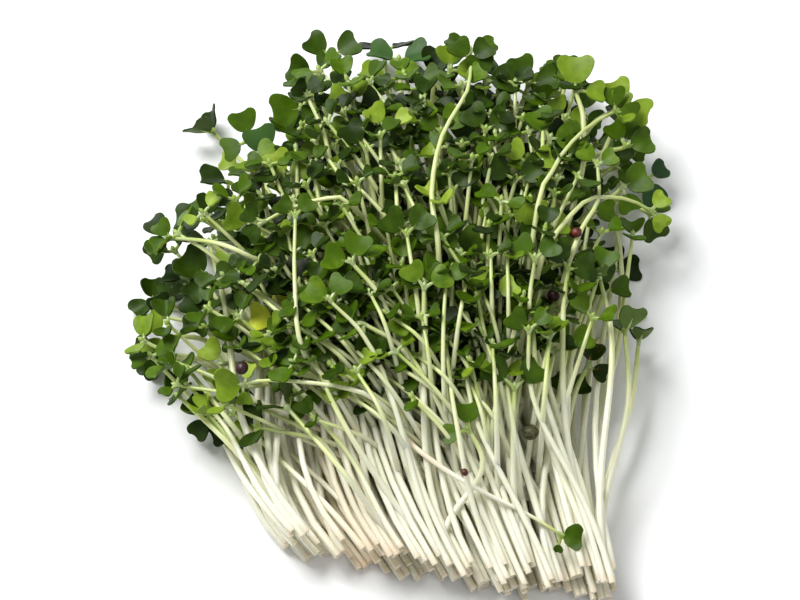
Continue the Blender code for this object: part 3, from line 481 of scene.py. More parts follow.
@dataclass
class Route:
    """A stem's way from its cut end past a point to its head."""

    base: Vector
    aim: Vector
    passed: Vector
    joint: Vector
    first: float
    second: float

    def points(self, near_count: int, far_count: int, lowest: float) -> list[Vector]:
        """Points along the route, none lower than lowest.

        Args:
            near_count: Steps from the cut end to the passed point.
            far_count: Steps from there to the head.
            lowest: The least height of a point.

        Returns:
            The points, the cut end first.
        """
        near = (self.passed - self.base).length
        far = (self.joint - self.passed).length
        ahead = (self.joint - self.passed).normalized()
        behind = (self.passed - self.base).normalized()
        through = (ahead * THROUGH_SHARES[0] + behind * THROUGH_SHARES[1]).normalized()
        arrive = (ahead * ARRIVE_SHARES[0] + through * ARRIVE_SHARES[1]).normalized()
        found = [self.base.copy()]
        found += bezier(
            self.base, self.base + self.aim * near * self.first,
            self.passed - through * near * END_HANDLE, self.passed, near_count,
        )
        found += bezier(
            self.passed, self.passed + through * far * self.second,
            self.joint - arrive * far * END_HANDLE, self.joint, far_count,
        )
        for point in found:
            point.z = max(point.z, lowest)
        return found


@dataclass
class Sprout:
    """One seedling: the points of its stem, the head, and its seed leaves."""

    clump: tuple
    points: list[Vector]
    joint: Vector
    blades: list[Blade]
    fold: float
    head: tuple[float, float] | None = None
    smooth: list[Vector] = field(default_factory=list)
    radii: tuple[float, float] = STEM_RADII


class Crowd:
    """The space that placed sprouts fill, and the test that a new one keeps clear of it."""

    def __init__(self, clearance: float, own_gap: float, stem_radius: float, blade_radius: float) -> None:
        self.clearance = clearance
        self.own_gap = own_gap
        self.stem_radius = stem_radius
        self.blade_radius = blade_radius
        self.entries: list[tuple] = []
        self.tree: kdtree.KDTree | None = None

    def samples(self, sprout: Sprout) -> list[tuple[Vector, float]]:
        """All test points of a sprout, the roomy leaf ends first as they fail soonest."""
        found = []
        for blade in sprout.blades:
            found += [(p, self.blade_radius) for p in blade_samples(sprout.joint, blade, sprout.fold)]
        found += [(p, self.stem_radius) for p in reversed(stem_samples(sprout.points))]
        return found

    def add(
        self, samples: list[tuple[Vector, float]], clump: tuple, base: Vector, settle: bool = True
    ) -> None:
        """Takes up the space of a placed sprout's samples.

        Args:
            samples: Its test points with their radii.
            clump: The clump that it belongs to.
            base: Its cut end, near which its clump may touch it.
            settle: Whether to sort the entries now.
        """
        for point, radius in samples:
            self.entries.append((point, radius, clump, (point - base).length > FUSED_LENGTH))
        if settle:
            self.settle()

    def add_coats(self, settle: bool = True) -> None:
        """Takes up the space of the frame's seed coats.

        Args:
            settle: Whether the entries are sorted after each.
        """
        for k, coat in enumerate(SEED_COATS):
            centre = world(*coat[:3])
            self.add([(centre, max(coat[3:]) * 0.5 + COAT_MARGIN)], ("coat", k), centre, settle)

    def settle(self) -> None:
        """Sorts the entries for searching."""
        self.tree = kdtree.KDTree(len(self.entries))
        for i, entry in enumerate(self.entries):
            self.tree.insert(entry[0], i)
        self.tree.balance()

    def clear(self, samples: list[tuple[Vector, float]], clump: tuple) -> bool:
        """True when a sprout of this clump would keep its distance from every placed one.

        Args:
            samples: Its test points with their radii.
            clump: The clump that it belongs to.

        Returns:
            Whether it is clear.
        """
        if self.tree is None:
            return True
        for point, radius in samples:
            reach = radius + self.stem_radius + self.clearance
            for _, index, distance in self.tree.find_range(point, reach):
                _, other_radius, other_clump, loose = self.entries[index]
                gap = self.clearance if other_clump != clump else self.own_gap
                if distance < radius + other_radius + gap and (other_clump != clump or loose):
                    return False
        return True


def blade_samples(joint: Vector, blade: Blade, fold: float) -> list[Vector]:
    """Points spread over a blade, for the clearance test.

    Args:
        joint: The head.
        blade: The blade.
        fold: How far its halves stand up.

    Returns:
        The points.
    """
    width, length, neck = blade.width, blade.length, blade.neck
    found = [joint]
    steps = max(1, math.ceil(neck / SAMPLE_STEP))
    found += [joint + blade.along * (neck * (i + 1) / steps) for i in range(steps)]
    rows = max(2, math.ceil(length / SAMPLE_STEP))
    for i in range(rows + 1):
        y = i / rows
        half = width * min(0.5, 0.30 + 0.42 * y) * (1.0 if y < 0.75 else 1.0 - 1.1 * (y - 0.75))
        columns = max(1, math.ceil(2 * half / SAMPLE_STEP))
        for j in range(columns + 1):
            x = half * (2.0 * j / columns - 1.0)
            found.append(
                joint + blade.across * x + blade.along * (neck + y * length) + blade.normal * (abs(x) * fold)
            )
    return found


def stem_samples(points: list[Vector]) -> list[Vector]:
    """Points spread along a stem, for the clearance test."""
    found = []
    for a, b in zip(points, points[1:]):
        steps = max(1, math.ceil((b - a).length / SAMPLE_STEP))
        found += [a.lerp(b, i / steps) for i in range(steps)]
    return found


def aimed_blade(joint_uv: tuple[float, float], blade: tuple, lying: bool) -> Blade:
    """A blade's frame and sizes from its centre as laid out in the tilted plane.

    Args:
        joint_uv: The head's junction (u, v).
        blade: Its centre (u, v), width and turn.
        lying: Whether the head lies flat on the surface.

    Returns:
        The blade.
    """
    du = blade[0] - joint_uv[0]
    dv = blade[1] - joint_uv[1]
    width = blade[2]
    length = width * BLADE_LENGTH_RATIO
    in_view = math.hypot(du, dv)
    reach = max(in_view, 0.9 + length * 0.5)
    if lying:
        flat_way = Vector((du, dv / math.sin(VIEW_TILT), 0.0))
        return Blade.squared(flat_way, Vector((0.0, 0.0, 1.0)), width, length, 1.0)
    depth = min(math.sqrt(max(0.0, reach * reach - in_view * in_view)), 0.75 * reach)
    made = Blade.squared(RIGHT * du + UP * dv + FACING * depth, FACING, width, length, 1.0)
    turn = Matrix.Rotation(math.radians(blade[3]) * (1.0 if du < 0 else -1.0), 3, made.along)
    return Blade.squared(made.along, turn @ made.normal, width, length, max(0.7, reach - length * 0.5))


def parted(joint_uv: tuple[float, float], first: tuple, second: tuple) -> list[tuple]:
    """The two blades turned away from each other in the tilted plane until they can't overlap.

    Args:
        joint_uv: The head's junction (u, v).
        first: One blade's centre (u, v), width and turn.
        second: The other's.

    Returns:
        Both blades, turned.
    """
    angles = [math.atan2(b[1] - joint_uv[1], b[0] - joint_uv[0]) for b in (first, second)]
    apart = (angles[1] - angles[0] + math.pi) % (2.0 * math.pi) - math.pi
    lack = max(0.0, math.radians(LEAST_PARTING) - abs(apart)) * 0.5
    side = 1.0 if apart > 0 else -1.0
    found = []
    for blade, angle, way in ((first, angles[0], -side), (second, angles[1], side)):
        reach = math.hypot(blade[0] - joint_uv[0], blade[1] - joint_uv[1])
        angle += way * lack
        centre = (joint_uv[0] + reach * math.cos(angle), joint_uv[1] + reach * math.sin(angle))
        found.append((*centre, *blade[2:]))
    return found


def open_blades(
    stem_end: Vector, spread: Vector, angle: float, widths: tuple[float, float], neck: float = 1.0
) -> list[Blade]:
    """Two blades that open from the end of a stem by an angle to its axis.

    Args:
        stem_end: The way that the stem ends in.
        spread: The way that the blades part in.
        angle: How far each opens, in radians.
        widths: The widths of the two.
        neck: How far from the head they start.

    Returns:
        The two blades.
    """
    found = []
    for side, size in zip((1.0, -1.0), widths):
        along = stem_end * math.cos(angle) + spread * (side * math.sin(angle))
        normal = stem_end * math.sin(angle) - spread * (side * math.cos(angle))
        found.append(Blade.squared(along, normal, size, size * BLADE_LENGTH_RATIO, neck))
    return found


def slot_base(column: float, row: float, rng: random.Random) -> tuple[Vector, Vector]:
    """Centre of a clump's cut end and its starting direction.

    Args:
        column: The clump's column, from 0 at the left.
        row: Its row, from 0 at the bottom.
        rng: Where the stagger is drawn from.

    Returns:
        The centre and the direction.
    """
    share = column / (COLUMNS - 1)
    heading = math.radians(LEFT_HEADING + (RIGHT_HEADING - LEFT_HEADING) * share)
    lift = math.radians(ROW_LIFTS[min(ROWS - 1, int(row))])
    stagger = rng.uniform(0.0, 5.0) + 20.0 * max(0.0, 0.55 - share)
    start = Vector((FIRST_COLUMN_X + COLUMN_PITCH * column, CUT_LINE_Y, FIRST_ROW_Z + ROW_PITCH * row))
    aim = Vector((
        math.sin(heading) * math.cos(lift),
        math.cos(heading) * math.cos(lift),
        math.sin(lift),
    ))
    return start + aim * stagger, aim


def suited_share(passed: Vector) -> float:
    """How far across the bunch, from 0 left to 1 right, this point lies between its two edges."""
    left = along_table(LEFT_EDGE, passed.y)
    right = along_table(RIGHT_EDGE, passed.y)
    return min(1.0, max(0.0, (passed.x - left) / (right - left)))


def likely_row(height: float, rng: random.Random) -> int:
    """A row of cut ends: mostly one that suits a stem passing at this height, now and then any."""
    if rng.random() < 0.3:
        return rng.randrange(ROWS)
    return min(ROWS - 1, max(0, int(height / 8.0 + rng.uniform(-0.6, 0.9))))


class FrameLayout:
    """The sprouts of the frame's clumps, placed by the same rules and draws as in its source."""

    def __init__(self) -> None:
        self.rng = random.Random(SEED)
        self.bases = {(c, r): slot_base(c, r, self.rng) for c in range(COLUMNS) for r in range(ROWS)}
        self.crowd = Crowd(clearance=0.34, own_gap=-0.9, stem_radius=0.80, blade_radius=0.58)
        self.taken: set[tuple] = set()

    def sprouts(self) -> list[Sprout]:
        """Every sprout of the frame, in the order placed."""
        self.crowd.add_coats()
        found = [sprout for sprout in map(self.place_head, HEADS) if sprout]
        for _ in range(FILLERS):
            if len(found) >= MOST_SPROUTS:
                break
            sprout = self.place_filler()
            if sprout:
                found.append(sprout)
        return found

    def try_sprout(
        self, joint: Vector, passed: Vector, blades: list[Blade], row: int, lying: bool = False
    ) -> Sprout | None:
        """One attempt: a free place near the right column, and a sprout from it that keeps clear.

        Args:
            joint: The head.
            passed: A point that the stem passes.
            blades: The seed leaves.
            row: The row of cut ends that it starts in.
            lying: Whether the head lies flat on the surface.

        Returns:
            The sprout, or None where it would touch another.
        """
        rng = self.rng
        column = round(suited_share(passed) * (COLUMNS - 1)) + rng.choice((0, 0, 0, -1, 1, -1, 1, -2, 2))
        clump = (min(COLUMNS - 1, max(0, column)), row)
        free = [k for k in range(STEMS_PER_CLUMP) if (clump, k) not in self.taken]
        if not free:
            return None
        place = rng.choice(free)
        base, aim = self.bases[clump]
        side = aim.cross(Vector((0.0, 0.0, 1.0))).normalized()
        dx, dz = SLOT_OFFSETS[place]
        rise = side.cross(aim)
        start = base + side * dx + rise * dz
        aim = (aim + side * (dx * SLOT_SPREAD[0]) + rise * (dz * SLOT_SPREAD[1])).normalized()
        route = Route(start, aim, passed, joint, rng.uniform(*FIRST_HANDLES), rng.uniform(*SECOND_HANDLES))
        points = route.points(4, 2, LOWEST_STEM)
        fold = 0.0 if lying else rng.uniform(*FOLDS)
        sprout = Sprout(clump, points, joint.copy() if lying else points[-1], blades, fold)
        samples = self.crowd.samples(sprout)
        if any(point.z <= LOWEST_SAMPLE for point, _ in samples) or not self.crowd.clear(samples, clump):
            return None
        self.crowd.add(samples, clump, base)
        self.taken.add((clump, place))
        sprout.smooth = route.points(NEAR_STEPS, FAR_STEPS, STEM_RADII[0])
        return sprout

    def place_head(self, head: tuple) -> Sprout | None:
        """Places one laid-out head, at the first height and route that are clear.

        Args:
            head: A row of HEADS.

        Returns:
            The sprout, or None where no try was clear.
        """
        u, v, level, pass_u, pass_v, first, second = head
        rng = self.rng
        for attempt in range(HERO_TRIES):
            loose = 0.2 + 2.2 * attempt / HERO_TRIES
            shift_u = rng.uniform(-loose, loose)
            shift_v = rng.uniform(-loose, loose)
            share = LEVEL_SHARES[max(0, level)] + rng.uniform(-0.2, 0.12)
            height = max(1.2, canopy_height(u, v) * share) if level >= 0 else LYING_HEIGHT
            fall = math.hypot(pass_u - u, pass_v - v) * rng.uniform(0.15, 0.6)
            pass_height = max(0.65 + 2.0 * max(0, level) * rng.random(), height - fall)
            joint = world(u + shift_u, v + shift_v, height)
            passed = world(pass_u + shift_u, pass_v + shift_v, pass_height)
            blades = [aimed_blade((u, v), blade, level < 0) for blade in parted((u, v), first, second)]
            row = likely_row(pass_height, rng) if level >= 0 else 0
            sprout = self.try_sprout(joint, passed, blades, row, level < 0)
            if sprout:
                sprout.head = (u, v)
                return sprout
        return None

    def place_filler(self) -> Sprout | None:
        """Places one head at random under and round the laid-out ones."""
        rng = self.rng
        for _ in range(FILLER_TRIES):
            u = rng.uniform(-48.0, 48.0)
            v = rng.uniform(-24.0, 46.0)
            top = canopy_height(u, v)
            height = top * rng.uniform(0.08, 0.95)
            if top < 10.0 and rng.random() < 0.5:
                continue
            joint = world(u, v, height)
            found = random_head(joint, u, height, FRAME_STYLE, rng)
            if found is None:
                continue
            passed, blades = found
            row = likely_row(passed.z, rng)
            sprout = self.try_sprout(joint, passed, blades, row)
            if sprout:
                return sprout
        return None


def random_head(
    joint: Vector, u: float, height: float, style: HeadStyle, rng: random.Random
) -> tuple[Vector, list[Blade]] | None:
    """The point that a filler's stem passes and its two blades, or None too near the cut ends.

    Args:
        joint: The head.
        u: How far across the bunch it is.
        height: How high it is.
        style: How such heads vary.
        rng: Where the variations are drawn from.

    Returns:
        The point and the blades, or None.
    """
    home = Vector((20.0 + 0.25 * u, CUT_LINE_Y + 8.0, 4.0))
    back = home - joint
    back.z = 0.0
    if back.length < style.least_back:
        return None
    back = Matrix.Rotation(math.radians(rng.uniform(-BACK_TURN, BACK_TURN)), 3, "Z") @ back.normalized()
    reach = rng.uniform(*PASS_REACHES)
    passed = joint + back * reach
    passed.z = max(0.9, height - reach * rng.uniform(-0.1, 0.7))
    axis = (joint - passed).normalized()
    spread = axis.cross(Vector((rng.gauss(0, 1), rng.gauss(0, 1), rng.gauss(0, 1)))).normalized()
    axis = (axis + Vector((0.0, 0.0, rng.uniform(*style.lifts)))).normalized()
    spread = (spread - axis * spread.dot(axis)).normalized()
    width = rng.uniform(*style.widths)
    opening = math.radians(rng.uniform(*style.openings))
    widths = (width, width * rng.uniform(*OTHER_LEAF_SHARES))
    return passed, open_blades(axis, spread, opening, widths, style.neck)


class FillingLayout:
    """Seedlings that fill the bunch out round those of the frame."""

    def __init__(self, placed: list[Sprout]) -> None:
        self.rng = random.Random(EXTRA_SEED)
        self.crowd = Crowd(clearance=-0.30, own_gap=-0.9, stem_radius=0.55, blade_radius=0.30)
        self.count = 0
        self.crowd.add_coats(settle=False)
        for sprout in placed:
            self.crowd.add(self.crowd.samples(sprout), sprout.clump, sprout.points[0], settle=False)
        self.crowd.settle()

    def sprouts(self) -> list[Sprout]:
        """Every further seedling."""
        found = [self.laid_over(*row) for row in LAID_OVER]
        found += [self.laid(list(points), blades) for points, blades in LAID_FREE]
        found += [sprout for sprout in map(self.place_head, EXTRA_HEADS) if sprout]
        LOG.info("heads laid out: %d", len(found))
        found += [sprout for sprout in (self.place_filler() for _ in range(EXTRA_FILLERS)) if sprout]
        LOG.info("with fillers: %d", len(found))
        for cover in COVERS:
            found += self.covered(cover)
            LOG.info("with a layer of short ones: %d", len(found))
        return found

    def covered(self, cover: Cover) -> list[Sprout]:
        """One layer of short seedlings, one tried in each cell of a loose grid.

        Args:
            cover: The layer.

        Returns:
            The seedlings placed.
        """
        self.crowd.clearance = cover.clearance
        self.crowd.settle()
        across = np.arange(-53.0, 54.0, cover.pitch)
        along = np.arange(-27.0, cover.highest_v, cover.pitch)
        cells = [(float(u), float(v)) for u in across for v in along]
        self.rng.shuffle(cells)
        return [sprout for sprout in (self.place_short(u, v, cover) for u, v in cells) if sprout]

    @staticmethod
    def hides(samples: list[tuple[Vector, float]]) -> bool:
        """True when a sprout would stand before a seed coat or the faded leaf, seen from the camera.

        Args:
            samples: Its test points with their radii.

        Returns:
            Whether it hides one of them.
        """
        faded_u, faded_v = FADED_HEAD[0] - 3.7, FADED_HEAD[1] + 1.2
        kept = [coat[:3] for coat in SEED_COATS] + [(faded_u, faded_v, canopy_height(faded_u, faded_v) * 0.6)]
        for point, _ in samples:
            u, v = seen(point)
            for kept_u, kept_v, height in kept:
                near = math.hypot(u - kept_u, v - kept_v) < SHOWN_RADIUS
                if near and point.dot(FACING) > world(kept_u, kept_v, height).dot(FACING):
                    return True
        return False

    def laid(self, points: list[tuple[float, float, float]], blades: tuple) -> Sprout:
        """A seedling along given points (u, v, height).

        Args:
            points: The stem's points.
            blades: Its blades, as in HEADS.

        Returns:
            The seedling.
        """
        line = resampled([world(*point) for point in points], STEM_RINGS)
        joint_uv = points[-1][:2]
        leaves = [aimed_blade(joint_uv, blade, False) for blade in blades]
        self.count += 1
        sprout = Sprout(("laid", self.count), line, line[-1], leaves, 0.1, joint_uv, line, EXTRA_STEM_RADII)
        self.crowd.add(self.crowd.samples(sprout), sprout.clump, line[0])
        return sprout

    def laid_over(self, share: float, line: tuple, blades: tuple) -> Sprout:
        """A seedling that comes up from inside the bunch and runs over the canopy through points (u, v)."""
        shares = [share * start for start in START_SHARES] + [share] * len(line)
        points = [(u, v, canopy_height(u, v) * part) for (u, v), part in zip(line, shares)]
        return self.laid(points, blades)

    def try_sprout(self, joint: Vector, passed: Vector, blades: list[Blade], fold: float) -> Sprout | None:
        """One attempt at a further seedling, from between the frame's columns or on top of them.

        Args:
            joint: The head.
            passed: A point that the stem passes.
            blades: The seed leaves.
            fold: How far the halves of its leaves stand up.

        Returns:
            The sprout, or None where it doesn't fit.
        """
        rng = self.rng
        on_top = passed.z > 9.0 and rng.random() < 0.6
        column = suited_share(passed) * (COLUMNS - 1) + rng.uniform(-1.5, 1.5)
        column = min(COLUMNS - 0.6, max(-0.4, column))
        row = 2.55 if on_top else rng.choice((0.0, 0.5, 1.0, 1.5, 2.0))
        if not on_top:
            column = math.floor(column) + 0.5
        base, aim = slot_base(column, row, rng)
        route = Route(base, aim, passed, joint, rng.uniform(*FIRST_HANDLES), rng.uniform(*SECOND_HANDLES))
        points = route.points(NEAR_STEPS, FAR_STEPS, EXTRA_STEM_RADII[0])
        clump = ("more", self.count)
        sprout = Sprout(clump, points, points[-1], blades, fold, None, points, EXTRA_STEM_RADII)
        samples = self.crowd.samples(sprout)
        if any(point.z <= LOWEST_SAMPLE for point, _ in samples) or self.hides(samples):
            return None
        if not self.crowd.clear(samples, clump):
            return None
        self.crowd.add(samples, clump, base)
        self.count += 1
        return sprout

    def place_head(self, head: tuple) -> Sprout | None:
        """Places one head laid out from the photograph.

        Args:
            head: A row of EXTRA_HEADS.

        Returns:
            The sprout, or None where no try was clear.
        """
        u, v, level, pass_u, pass_v, first, second = head
        rng = self.rng
        blades = [aimed_blade((u, v), blade, False) for blade in parted((u, v), first, second)]
        for attempt in range(HEAD_TRIES):
            loose = 0.3 + 2.4 * attempt / HEAD_TRIES
            shift_u = rng.uniform(-loose, loose)
            shift_v = rng.uniform(-loose, loose)
            share = LEVEL_SHARES[level] + rng.uniform(-0.3, 0.12)
            height = max(1.4, canopy_height(u, v) * share)
            fall = math.hypot(pass_u - u, pass_v - v) * rng.uniform(0.0, 0.6)
            joint = world(u + shift_u, v + shift_v, height)
            passed = world(pass_u + shift_u, pass_v + shift_v, max(1.0, height - fall))
            sprout = self.try_sprout(joint, passed, blades, rng.uniform(*FOLDS))
            if sprout:
                sprout.head = (u, v)
                return sprout
        return None

    def place_short(self, u: float, v: float, cover: Cover) -> Sprout | None:
        """Places a seedling cut short near (u, v), its cut end inside the bunch.

        Args:
            u: How far across its cell is.
            v: How far up its cell is.
            cover: Its layer.

        Returns:
            The sprout, or None where no try was clear.
        """
        rng = self.rng
        if not inside(CANOPY_CORE, u, v) and rng.random() > cover.edge_chance:
            return None
        for _ in range(COVER_TRIES):
            at_u = u + rng.uniform(-0.5, 0.5) * cover.pitch
            at_v = v + rng.uniform(-0.5, 0.5) * cover.pitch
            if not inside(CANOPY_OUTLINE, at_u, at_v):
                continue
            height = canopy_height(at_u, at_v) * rng.uniform(*cover.depths)
            joint = world(at_u, at_v, height)
            found = random_head(joint, at_u, height, cover.style, rng)
            if found is None:
                continue
            passed, blades = found
            base = passed + (passed - joint) * rng.uniform(0.7, 1.6)
            base.z = max(1.0, passed.z * rng.uniform(0.2, 0.5))
            if not inside(WITHIN_BUNCH, *seen(base)):
                continue
            line = resampled([base, passed, joint], STEM_RINGS)
            clump = ("short", self.count)
            fold = rng.uniform(*SHORT_FOLDS)
            sprout = Sprout(clump, line, line[-1], blades, fold, None, line, EXTRA_STEM_RADII)
            near = self.crowd.samples(Sprout(clump, line[STEM_RINGS // 2:], line[-1], blades, fold))
            if any(point.z <= LOWEST_SAMPLE for point, _ in near) or self.hides(near):
                continue
            if not self.crowd.clear(near, clump):
                continue
            self.count += 1
            self.crowd.add(near, clump, base, settle=self.count % SETTLE_EVERY == 0)
            return sprout
        return None

    def place_filler(self) -> Sprout | None:
        """Places one head at random inside the canopy's outline."""
        rng = self.rng
        for _ in range(EXTRA_TRIES):
            u = rng.uniform(-52.0, 52.0)
            v = rng.uniform(-27.0, 50.0)
            if not inside(CANOPY_OUTLINE, u, v):
                continue
            height = canopy_height(u, v) * rng.uniform(0.12, 0.9)
            joint = world(u, v, height)
            found = random_head(joint, u, height, EXTRA_STYLE, rng)
            if found is None:
                continue
            sprout = self.try_sprout(joint, *found, rng.uniform(*FILLER_FOLDS))
            if sprout:
                return sprout
        return None


def resampled(line: list[Vector], count: int) -> list[Vector]:
    """count points evenly along a smooth curve through the given ones.

    Args:
        line: The points that the curve runs through.
        count: How many points to return.

    Returns:
        The points.
    """
    knots = [line[0] * 2 - line[1], *line, line[-1] * 2 - line[-2]]
    dense = []
    for a, b, c, d in zip(knots, knots[1:], knots[2:], knots[3:]):
        bend = a * 2 - b * 5 + c * 4 - d
        twist = b * 3 - a - c * 3 + d
        for i in range(CURVE_STEPS):
            t = i / CURVE_STEPS
            dense.append((b * 2 + (c - a) * t + bend * t ** 2 + twist * t ** 3) * 0.5)
    dense.append(line[-1])
    dense_points = np.array(dense)
    runs = np.concatenate([[0.0], np.cumsum(np.linalg.norm(np.diff(dense_points, axis=0), axis=1))])
    wanted = np.linspace(0.0, runs[-1], count)
    return [Vector([float(np.interp(w, runs, dense_points[:, k])) for k in range(3)]) for w in wanted]


class Side(Enum):
    """The two faces of a seed leaf."""

    UPPER = "upper"
    UNDER = "under"


def add_node(
    tree: bpy.types.NodeTree, kind: str, inputs: dict[str | int, object] | None = None, **settings: object
) -> bpy.types.Node:
    """A new node of a kind, with settings, and inputs given as values or as sockets to link.

    Args:
        tree: The material's nodes.
        kind: The node's type.
        inputs: Its inputs by name or number.
        **settings: Its other properties.

    Returns:
        The node.
    """
    made = tree.nodes.new(kind)
    for name, value in settings.items():
        setattr(made, name, value)
    for key, value in (inputs or {}).items():
        if isinstance(value, bpy.types.NodeSocket):
            tree.links.new(value, made.inputs[key])
        else:
            made.inputs[key].default_value = value
    return made


@dataclass(frozen=True)
class Finish:
    """What every material here shares, and the helpers that its pattern is made with."""

    name: str
    roughness: float = 0.45
    specular: float = 0.5
    subsurface: float = 0.0
    scatter_mm: tuple[float, float, float] = (1.0, 1.0, 1.0)

    def start(self) -> tuple[bpy.types.Material, bpy.types.NodeTree, bpy.types.Node]:
        """A material with its shader's uniform values set, its node tree and the shader."""
        material = bpy.data.materials.new(self.name)
        material.use_nodes = True
        tree = material.node_tree
        shader = tree.nodes["Principled BSDF"]
        shader.inputs["Roughness"].default_value = self.roughness
        shader.inputs["Specular IOR Level"].default_value = self.specular
        shader.inputs["Subsurface Weight"].default_value = self.subsurface
        shader.inputs["Subsurface Radius"].default_value = self.scatter_mm
        shader.inputs["Subsurface Scale"].default_value = MM
        return material, tree, shader

    @staticmethod
    def fac(tree: bpy.types.NodeTree, name: str) -> bpy.types.NodeSocket:
        """The value of a piece's own attribute."""
        return add_node(tree, "ShaderNodeAttribute", attribute_name=name).outputs["Fac"]

    @staticmethod
    def math(tree: bpy.types.NodeTree, operation: str, *values: object) -> bpy.types.NodeSocket:
        """The result of a Math node."""
        inputs = dict(enumerate(values))
        return add_node(tree, "ShaderNodeMath", inputs, operation=operation).outputs[0]

    @staticmethod
    def mixed(tree: bpy.types.NodeTree, share: object, first: object, second: object) -> bpy.types.NodeSocket:
        """Two colours mixed by a share."""
        inputs = {0: share, 6: first, 7: second}
        return add_node(tree, "ShaderNodeMix", inputs, data_type="RGBA").outputs[2]

    @staticmethod
    def band(
        tree: bpy.types.NodeTree, value: object, low: float, high: float, start: float, end: float
    ) -> bpy.types.NodeSocket:
        """A value smoothly mapped from low..high to start..end."""
        inputs = {0: value, 1: low, 2: high, 3: start, 4: end}
        return add_node(tree, "ShaderNodeMapRange", inputs, interpolation_type="SMOOTHSTEP").outputs[0]

    @staticmethod
    def noise(tree: bpy.types.NodeTree, grain_mm: float, detail: float = 2.0) -> bpy.types.NodeSocket:
        """Noise in object coordinates whose grain is about this many millimetres."""
        place = add_node(tree, "ShaderNodeTexCoord").outputs["Object"]
        inputs = {"Vector": place, "Scale": 1.0 / (grain_mm * MM), "Detail": detail}
        return add_node(tree, "ShaderNodeTexNoise", inputs).outputs[0]

    @staticmethod
    def ramp(
        tree: bpy.types.NodeTree, value: object, stops: tuple[tuple[float, str], ...]
    ) -> bpy.types.NodeSocket:
        """A colour ramp through (place, hex code) stops.

        Args:
            tree: The material's nodes.
            value: What runs through the ramp.
            stops: Its stops.

        Returns:
            The colour.
        """
        made = add_node(tree, "ShaderNodeValToRGB", {0: value})
        elements = made.color_ramp.elements
        while len(elements) < len(stops):
            elements.new(0.5)
        for element, (place, code) in zip(elements, stops):
            element.position = place
            element.color = linear(code)
        return made.outputs[0]


@dataclass(frozen=True)
class LeafFinish(Finish):
    """A seed leaf: soft green with a pale midrib and faint side veins."""

    side: Side = Side.UPPER
    greens: tuple[tuple[float, str], ...] = (
        (0.0, "#101a01"), (0.3, "#233802"), (0.6, "#466305"), (0.85, "#7d9627"), (1.0, "#a3b556"),
    )

    def build(self) -> bpy.types.Material:
        """The finished material."""
        material, tree, shader = self.start()
        grain = self.math(tree, "SUBTRACT", self.noise(tree, 2.4, 3.0), 0.5)
        # The tone holds each leaf's own tone with painted shade and painted backlight in it
        tone = self.math(tree, "MULTIPLY_ADD", grain, 0.34, self.fac(tree, "tone"))
        colour = self.ramp(tree, tone, self.greens)
        colour = self.mixed(tree, self.fac(tree, "faded"), colour, linear("#d3dc3e"))
        # Painted sheen: a dull blue-green is mixed in for the reflection of the bright surround
        bluish_sheen = self.math(tree, "MULTIPLY", self.fac(tree, "bluish_sheen"), 0.55)
        colour = self.mixed(tree, bluish_sheen, colour, linear("#3a5f3c"))
        veins, midrib = self.veins(tree)
        colour = self.mixed(tree, self.math(tree, "MULTIPLY", veins, 0.22), colour, linear("#a9c574"))
        colour = self.mixed(tree, self.math(tree, "MULTIPLY", midrib, 0.55), colour, linear("#c3d592"))
        if self.side is Side.UNDER:
            colour = self.mixed(tree, 0.28, colour, linear("#8fa860"))
        # Brown flecks 0.8 mm across on a spotted leaf
        flecks = self.band(tree, self.noise(tree, 0.8), 0.60, 0.66, 0.0, 1.0)
        share = self.math(tree, "MULTIPLY", flecks, self.fac(tree, "spotted"))
        colour = self.mixed(tree, share, colour, linear("#6a4a24"))
        tree.links.new(colour, shader.inputs["Base Color"])
        relief = self.math(tree, "SUBTRACT", self.noise(tree, 0.7), self.math(tree, "MULTIPLY", veins, 0.8))
        bump = add_node(tree, "ShaderNodeBump", {"Strength": 0.22, "Distance": 0.2 * MM, "Height": relief})
        tree.links.new(bump.outputs[0], shader.inputs["Normal"])
        return material

    def veins(self, tree: bpy.types.NodeTree) -> tuple[bpy.types.NodeSocket, bpy.types.NodeSocket]:
        """Masks of the side veins and of the midrib, from the leaf's own UV map.

        Args:
            tree: The material's nodes.

        Returns:
            The two masks.
        """
        spot = add_node(tree, "ShaderNodeUVMap", uv_map="UVMap").outputs[0]
        parts = add_node(tree, "ShaderNodeSeparateXYZ", {0: spot})
        across = self.math(tree, "ABSOLUTE", self.math(tree, "SUBTRACT", parts.outputs[0], 0.5))
        along = parts.outputs[1]
        midrib = self.math(
            tree, "MULTIPLY", self.band(tree, across, 0.010, 0.030, 1.0, 0.0),
            self.band(tree, along, 0.55, 0.85, 1.0, 0.0),
        )
        # Side veins leave the midrib forwards, about six pairs over the leaf's length
        slant = self.math(tree, "MULTIPLY_ADD", across, -1.25, along)
        wave = self.math(tree, "PINGPONG", self.math(tree, "MULTIPLY", slant, 5.5), 0.5)
        lines = self.band(tree, wave, 0.0, 0.09, 1.0, 0.0)
        fade = self.band(tree, across, 0.10, 0.42, 1.0, 0.0)
        return self.math(tree, "MULTIPLY", lines, fade), midrib


